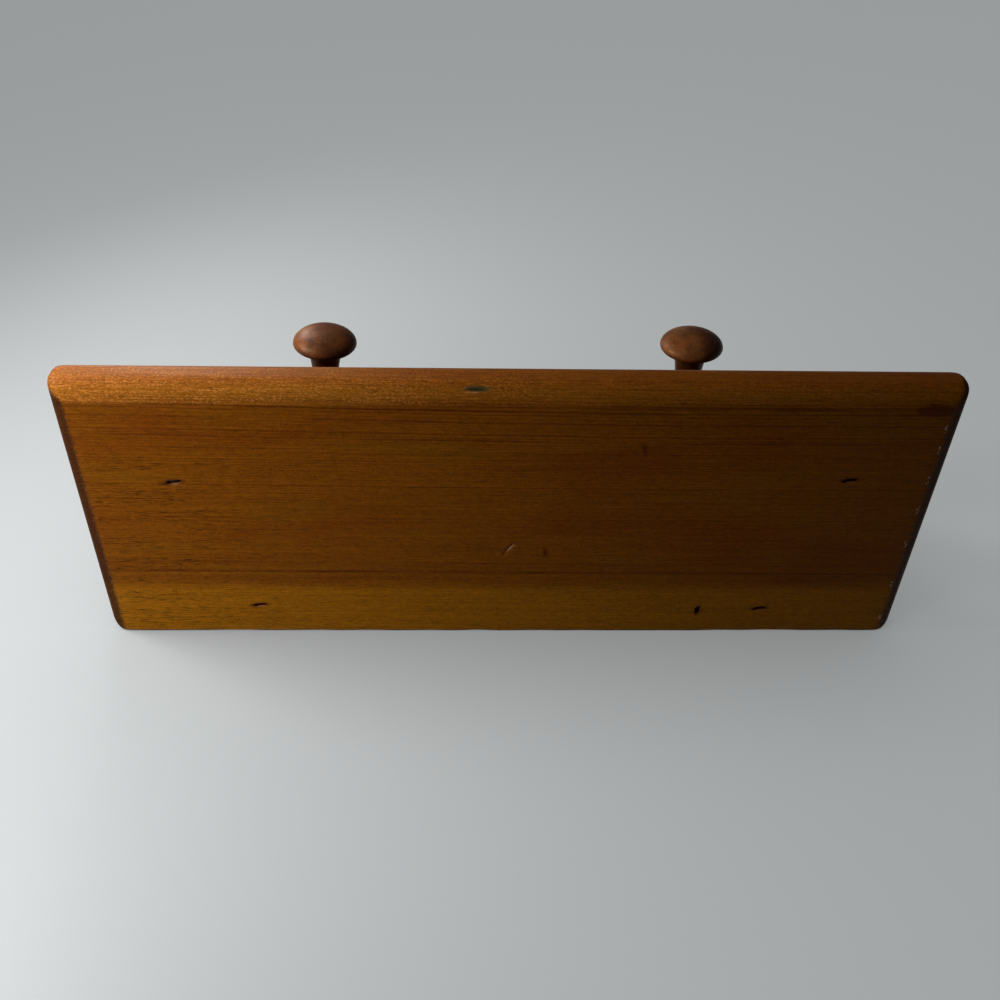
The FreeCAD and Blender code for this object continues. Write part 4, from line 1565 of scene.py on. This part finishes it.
@dataclass
class CovedBracket:
    """An end bracket, cut to a quarter-circle cove between a lip and a foot."""

    side: str
    slot: str = "stained_softwood"
    lip_height: float = 14.0
    foot_depth: float = 27.0
    foot_corner: float = 8.0
    ease_width: float = 1.5
    small_ease: float = 0.4
    slit_depth: float = 2.0
    past: float = 1.0

    def __post_init__(self) -> None:
        """Reads the bracket's corners from the frame."""
        self.node = "bracket_" + self.side
        self.low, self.high = cad_box(self.node)

    def outline(self) -> list[tuple[float, float]]:
        """Gives the bracket's side, as (y, z) points.

        Returns:
            The points, in order.
        """
        cove = self.high.y - self.low.y - self.foot_depth
        cove_middle = (self.low.y, self.high.z - self.lip_height - cove)
        foot_front = -self.foot_depth
        corner_middle = (foot_front + self.foot_corner, self.low.z + self.foot_corner)
        points = [(self.high.y, self.low.z), (self.high.y, self.high.z), (self.low.y, self.high.z)]
        points += arc(cove_middle, cove, 90, 0, 32)
        points += arc(corner_middle, self.foot_corner, 180, 270, 8)
        return points

    def make(self) -> bpy.types.Object:
        """Builds the bracket and dresses it.

        Returns:
            The finished bracket.
        """
        points = [Vector((self.low.x, y, z)) for y, z in self.outline()]
        bracket = Workpiece().slab(points, X_AXIS * (self.high.x - self.low.x))
        bracket.ease(self.on_front_outline, self.ease_width, 4)
        bracket.ease(self.under_foot, self.small_ease, 2)
        sign = SIDES[self.side]
        for end in ENDS:
            bracket.carve(self.slit(f"bracket_staple_{self.side}_{end}", sign))
        finish = StainedSoftwood(
            "bracket_softwood_" + self.side, Grain.UPRIGHT, pith=(-150.0, sign * 170.0), seed=3.0 + sign,
            ring=1.3, drift=2.0, drift_from=-60.0, drift_to=70.0)
        return bracket.finish(self.node, self.slot, finish.material())

    def on_front_outline(self, edge: bmesh.types.BMEdge) -> bool:
        """Tells whether an edge runs along the lip, the cove or the foot's front.

        Args:
            edge: the edge.

        Returns:
            Whether it does.
        """
        first, second = (v.co for v in edge.verts)
        lengthwise = abs(first.x - second.x) < NEAR
        top = min(first.z, second.z) > self.high.z - NEAR
        back = min(first.y, second.y) > self.high.y - NEAR
        bottom = max(first.z, second.z) < self.low.z + NEAR
        return lengthwise and not top and not back and not bottom

    def under_foot(self, edge: bmesh.types.BMEdge) -> bool:
        """Tells whether an edge runs across the foot's underside.

        Args:
            edge: the edge.

        Returns:
            Whether it does.
        """
        first, second = (v.co for v in edge.verts)
        return max(first.z, second.z) < self.low.z + NEAR and abs(first.x - second.x) < NEAR

    def slit(self, node: str, sign: int) -> Workpiece:
        """Makes the cutter of a staple's slit in the bracket's outer face.

        Args:
            node: the staple's CAD node.
            sign: 1 on the right or -1 on the left.

        Returns:
            The cutter.
        """
        low, high = cad_box(node)
        middle_y, middle_z = (low.y + high.y) / 2, (low.z + high.z) / 2
        face = self.high.x if sign > 0 else self.low.x
        outline = [(-0.8, -3.2), (0.5, -3.4), (0.85, -2.4), (0.7, 0.6), (0.9, 2.9), (0.2, 3.4),
                   (-0.6, 3.1), (-0.75, 0.4)]
        start = face - sign * self.slit_depth
        points = [Vector((start, middle_y + y, middle_z + z)) for y, z in outline]
        return Workpiece().slab(points, X_AXIS * sign * (self.slit_depth + self.past))


@dataclass
class TurnedPeg:
    """A mushroom peg: a tenon, a swelling shank, a slim neck and a domed head."""

    side: str
    slot: str = "peg_hardwood"
    from_middle: float = 81.5
    rail_front: float = -19.0
    tenon: tuple[float, float, float] = (6.3, 15.5, 0.8)
    shoulder: float = 7.9
    swell: tuple[float, float] = (8.3, 11.0)
    neck: tuple[float, float] = (5.3, 47.0)
    collar: float = 7.5
    rim: tuple[float, float] = (13.5, 70.5)
    underside: float = 3.3
    dome: float = 6.0
    swell_share: float = 0.45
    neck_share: float = 0.62
    hole_clearance: float = 0.05
    hole_spare: float = 0.5
    hole_past: float = 2.0

    def __post_init__(self) -> None:
        """Names the peg and sets its lean."""
        self.node = "peg_" + self.side
        self.lean = {"left": 1.2, "right": 3.2}[self.side]

    def seat(self) -> Matrix:
        """Gives the peg's place, with +Z along it, out of the rail.

        Returns:
            The place and the turn.
        """
        sign = SIDES[self.side]
        place = Vector((sign * self.from_middle, self.rail_front, 0))
        lean = Matrix.Rotation(math.radians(-sign * self.lean), 4, "Z")
        return Matrix.Translation(place) @ lean @ Matrix.Rotation(math.radians(90), 4, "X")

    def hole(self) -> Workpiece:
        """Makes the cutter of the peg's hole in the rail.

        Returns:
            The cutter.
        """
        radius, length, _ = self.tenon
        wide, deep = radius + self.hole_clearance, length + self.hole_spare
        outline = [(0, self.hole_past), (wide, self.hole_past), (wide, -deep), (0, -deep)]
        return Workpiece().lathe(outline, 40).turn(self.seat())

    @staticmethod
    def curve(points: Sequence[tuple[float, float]], steps: int) -> list[tuple[float, float]]:
        """Gives points along a Bezier curve, without its first.

        Args:
            points: its ends and handles, three or four in all.
            steps: how many points it gives.

        Returns:
            The points, the last end included.
        """
        result = []
        for i in range(1, steps + 1):
            level = [Vector(p) for p in points]
            while len(level) > 1:
                level = [a.lerp(b, i / steps) for a, b in zip(level, level[1:])]
            result.append(tuple(level[0]))
        return result

    def profile(self) -> list[tuple[float, float]]:
        """Gives the peg's half outline as (radius, distance from the rail) points.

        Returns:
            The points, from the tenon's end to the head's middle.
        """
        tenon, length, chamfer = self.tenon
        rim, rim_at = self.rim
        swell, swell_at = self.swell
        neck, neck_at = self.neck
        collar_at = rim_at - self.underside * math.sqrt(1 - (self.collar / rim) ** 2)
        points = [(0, -length), (tenon - chamfer, -length), (tenon, chamfer - length), (tenon, 0),
                  (self.shoulder, 0)]
        reach = self.swell_share * swell_at
        points += self.curve([(self.shoulder, 0), (swell, swell_at - reach), (swell, swell_at)], 8)
        handle = self.swell_share * (neck_at - swell_at)
        points += self.curve([(swell, swell_at), (swell, swell_at + handle), (neck, neck_at - handle),
                              (neck, neck_at)], 18)
        bend_at = neck_at + self.neck_share * (collar_at - neck_at)
        points += self.curve([(neck, neck_at), (neck, bend_at), (self.collar, collar_at)], 14)
        start = math.acos(self.collar / rim)
        for i in range(1, 9):
            angle = start * (1 - i / 8)
            points.append((rim * math.cos(angle), rim_at - self.underside * math.sin(angle)))
        for i in range(1, 17):
            angle = math.pi / 2 * i / 16
            points.append((rim * math.cos(angle), rim_at + self.dome * math.sin(angle)))
        points[-1] = (0, rim_at + self.dome)
        return points

    def make(self) -> bpy.types.Object:
        """Builds the peg and dresses it.

        Returns:
            The finished peg.
        """
        peg = Workpiece().lathe(self.profile(), 72).turn(self.seat())
        sign = SIDES[self.side]
        brown = {"left": (126, 72, 35), "right": (122, 69, 33)}[self.side]
        finish = StainedHardwood("peg_hardwood_" + self.side, Vector((sign * self.from_middle, 0, 0)),
                                 seed=2.0 + sign, brown=brown)
        return peg.finish(self.node, self.slot, finish.material(), sharp=50.0)


@dataclass
class WireStaple:
    """A staple of flat wire, driven below the surface."""

    node: str
    face_way: Vector
    turn: float = 0.0
    slot: str = "staple_wire"
    crown: float = 5.8
    leg: float = 28.0
    wire_width: float = 1.3
    wire_thickness: float = 1.0
    point: float = 1.6
    bend: float = 0.7
    inner_bend: float = 0.3
    chisel_share: float = 0.6
    burr: float = 0.12

    def seat(self) -> Matrix:
        """Gives the crown's place, with +Z out of the wood and X along the crown.

        Returns:
            The place and the turn.
        """
        low, high = cad_box(self.node)
        middle = (low + high) / 2
        if abs(self.face_way.z) > 0.5:
            place = Vector((middle.x, middle.y, high.z))
            return Matrix.Translation(place) @ Matrix.Rotation(math.radians(self.turn), 4, "Z")
        outer = high.x if self.face_way.x > 0 else low.x
        place = Vector((outer, middle.y, middle.z))
        return Matrix.Translation(place) @ Matrix.Rotation(math.radians(90) * self.face_way.x, 4, "Y")

    def make(self, material: bpy.types.Material) -> bpy.types.Object:
        """Builds the staple from its outline and dresses it.

        Args:
            material: the piece's material.

        Returns:
            The finished staple.
        """
        half, wall, tip = self.crown / 2, self.wire_thickness, self.leg - self.point
        bend, inside, chisel = self.bend, self.inner_bend, wall * self.chisel_share
        outer = [(-half, -tip), *reversed(arc((-half + bend, -bend), bend, 90, 180, 4)),
                 *reversed(arc((half - bend, -bend), bend, 0, 90, 4)), (half, -tip)]
        inner = [(half - chisel, -self.leg), (half - wall, -tip), (half - wall, -wall - inside),
                 (half - wall - inside, -wall), (inside + wall - half, -wall),
                 (wall - half, -wall - inside), (wall - half, -tip), (chisel - half, -self.leg)]
        points = [Vector((x, -self.wire_width / 2, z)) for x, z in outer + inner]
        staple = Workpiece().slab(points, Y_AXIS * self.wire_width)
        staple.ease_sharp(self.burr, 2, 50.0)
        staple.turn(self.seat())
        return staple.finish(self.node, self.slot, material)


@dataclass
class FinishNail:
    """A finish nail with a narrow head, driven below the shelf's top."""

    node: str = "shelf_nail"
    slot: str = "staple_wire"
    head_height: float = 1.3
    shank: float = 1.4
    point: float = 2.4
    head_ease: float = 0.2
    seam: float = 0.01
    point_share: float = 0.2

    def make(self, material: bpy.types.Material) -> bpy.types.Object:
        """Builds the nail and dresses it.

        Args:
            material: the piece's material.

        Returns:
            The finished nail.
        """
        low, high = cad_box(self.node)
        middle = (low + high) / 2
        nail = Workpiece().block(Vector((low.x, low.y, high.z - self.head_height)), high)
        nail.ease_sharp(self.head_ease, 2)
        half = Vector((high.x - low.x, self.shank, 0)) / 2
        corners = [(-half.x, -half.y), (half.x, -half.y), (half.x, half.y), (-half.x, half.y)]
        top = high.z - self.head_height - self.seam
        points = [Vector((middle.x + x, middle.y + y, top)) for x, y in corners]
        shank = Workpiece().slab(points, Z_AXIS * (low.z + self.point - top))
        tip = min(shank.mesh.faces, key=lambda f: f.calc_center_median().z)
        drawn = bmesh.ops.extrude_face_region(shank.mesh, geom=[tip])["geom"]
        ends = [v for v in drawn if isinstance(v, bmesh.types.BMVert)]
        bmesh.ops.delete(shank.mesh, geom=[tip], context="FACES_ONLY")
        bmesh.ops.translate(shank.mesh, vec=Z_AXIS * -self.point, verts=ends)
        centre = Matrix.Translation(-Vector((middle.x, middle.y, low.z)))
        narrowed = (self.point_share, self.point_share, 1.0)
        bmesh.ops.scale(shank.mesh, vec=narrowed, space=centre, verts=ends)
        shank_mesh = bpy.data.meshes.new("shank")
        shank.mesh.to_mesh(shank_mesh)
        nail.mesh.from_mesh(shank_mesh)
        bpy.data.meshes.remove(shank_mesh)
        return nail.finish(self.node, self.slot, material)


# Stage


@dataclass
class Studio:
    """The camera, the lamps and the pale sheet that the part lies on."""

    camera_place: Vector = Vector((18.264, -333.401, 400.001))
    camera_aim: Vector = Vector((4.271, -71.533, 83.5))
    camera_roll: float = 177.87
    lens: float = 38.88
    sensor: float = 36.0
    sheet_gap: float = 0.35
    sheet_half: float = 4000.0
    sheet_colour: Colour = (206, 210, 210)
    sheet_shade: Colour = (128, 133, 133)
    sheet_lit: Colour = (190, 193, 193)
    sheet_glow: float = 0.5
    shade_reach: float = 0.25
    shade_samples: int = 8
    dim: float = 0.02
    reflected: float = 0.1

    def build(self) -> None:
        """Builds everything that isn't part of the object."""
        self.camera()
        self.world()
        self.sheet()
        self.lamp("above_right", Vector((260, -130, 300)), Vector((220, -60, 83)), 0.14, 0.62)
        self.lamp("front_right", Vector((300, -270, 45)), Vector((60, -60, 40)), 0.12, 1.15)
        self.lamp("below_right", Vector((210, -240, -220)), Vector((0, -90, 0)), 0.1, 0.36)
        self.lamp("front", Vector((-100, -1500, 100)), Vector((0, -40, 20)), 1.2, 0.85)
        self.lamp("behind", Vector((-520, 1200, -560)), Vector((0, 0, 10)), 0.9, 17.0)
        bpy.context.scene.view_settings.view_transform = "Standard"

    def camera(self) -> None:
        """Sets the camera at the photograph's viewpoint."""
        data = bpy.data.cameras.new("camera")
        data.lens = self.lens
        data.sensor_width = self.sensor
        data.clip_end = 100.0
        camera = bpy.data.objects.new("camera", data)
        way = (self.camera_aim - self.camera_place).to_track_quat("-Z", "Y")
        turn = way @ Quaternion((0, 0, 1), math.radians(self.camera_roll))
        camera.matrix_world = Matrix.Translation(self.camera_place * METRES) @ turn.to_matrix().to_4x4()
        bpy.context.scene.collection.objects.link(camera)
        bpy.context.scene.camera = camera

    def world(self) -> None:
        """Lights the part dimly, with a pale room in view and a duller one in reflections."""
        world = bpy.data.worlds.new("room")
        world.use_nodes = True
        tree = world.node_tree
        tree.nodes.clear()
        path = tree.nodes.new("ShaderNodeLightPath")
        surface = None
        rooms = ((None, self.dim), ("Is Glossy Ray", self.reflected), ("Is Transmission Ray", 1.0),
                 ("Is Camera Ray", 1.0))
        for output, strength in rooms:
            room = tree.nodes.new("ShaderNodeBackground")
            room.inputs["Color"].default_value = linear(self.sheet_colour)
            room.inputs["Strength"].default_value = strength
            if surface is None:
                surface = room
                continue
            mixed = tree.nodes.new("ShaderNodeMixShader")
            tree.links.new(path.outputs[output], mixed.inputs[0])
            tree.links.new(surface.outputs[0], mixed.inputs[1])
            tree.links.new(room.outputs[0], mixed.inputs[2])
            surface = mixed
        out = tree.nodes.new("ShaderNodeOutputWorld")
        tree.links.new(surface.outputs[0], out.inputs["Surface"])
        bpy.context.scene.world = world

    def sheet(self) -> None:
        """Lays a plain pale sheet on the wall's plane, seen from the front alone, with a painted shadow
        near the part.
        """
        mesh = bmesh.new()
        bmesh.ops.create_grid(mesh, x_segments=1, y_segments=1, size=self.sheet_half * METRES)
        upright = Matrix.Rotation(math.radians(90), 4, "X")
        bmesh.ops.transform(mesh, matrix=Matrix.Translation(Y_AXIS * self.sheet_gap * METRES) @ upright,
                            verts=mesh.verts[:])
        data = bpy.data.meshes.new("sheet")
        mesh.to_mesh(data)
        mesh.free()
        sheet = bpy.data.objects.new("sheet", data)
        bpy.context.scene.collection.objects.link(sheet)
        sheet.visible_diffuse = False
        sheet.visible_shadow = False
        shader = Shader("pale_sheet")
        lit = shader.node("ShaderNodeBsdfDiffuse", sockets={"Color": linear(self.sheet_lit)})
        # The glow darkens near the part by ambient occlusion: a painted shadow.
        open_to = shader.node("ShaderNodeAmbientOcclusion", {"samples": self.shade_samples},
                              {"Distance": self.shade_reach}, "AO")
        shade = shader.mix(self.sheet_shade, self.sheet_colour, open_to)
        glow = shader.node("ShaderNodeEmission", sockets={"Color": shade, "Strength": 1.0})
        shown = shader.node("ShaderNodeMixShader", sockets={0: self.sheet_glow, 1: lit, 2: glow})
        clear = shader.node("ShaderNodeBsdfTransparent")
        behind = shader.node("ShaderNodeNewGeometry", output="Backfacing")
        both = shader.node("ShaderNodeMixShader", sockets={0: behind, 1: shown, 2: clear})
        data.materials.append(shader.end(both))

    def lamp(self, name: str, place: Vector, aim: Vector, size: float, power: float) -> None:
        """Hangs a square lamp.

        Args:
            name: the lamp's name.
            place: where it hangs, in millimetres.
            aim: what it points at, in millimetres.
            size: its side, in metres.
            power: its power, in watts.
        """
        data = bpy.data.lights.new(name, "AREA")
        data.size = size
        data.energy = power
        lamp = bpy.data.objects.new(name, data)
        lamp.location = place * METRES
        lamp.rotation_euler = (place - aim).to_track_quat("Z", "Y").to_euler()
        lamp.visible_camera = False
        bpy.context.scene.collection.objects.link(lamp)


def main() -> None:
    """Builds the part's pieces in order, then the studio round them."""
    logging.basicConfig(level=logging.INFO, format="%(name)s %(message)s")
    pegs = [TurnedPeg(side) for side in SIDES]
    plates = [KeyholePlate(side) for side in SIDES]
    ShelfBoard().make()
    BackRail().make(pegs, plates)
    for side in SIDES:
        CovedBracket(side).make()
    for peg in pegs:
        peg.make()
    for plate in plates:
        plate.make()
    wire = DarkWire().material()
    for side, sign in SIDES.items():
        for on in ("bracket", "rail"):
            WireStaple(f"shelf_staple_{on}_{side}", Z_AXIS, 6.0).make(wire)
        for end in ENDS:
            WireStaple(f"bracket_staple_{side}_{end}", X_AXIS * sign).make(wire)
    FinishNail().make(wire)
    Studio().build()


if __name__ == "__main__":
    main()
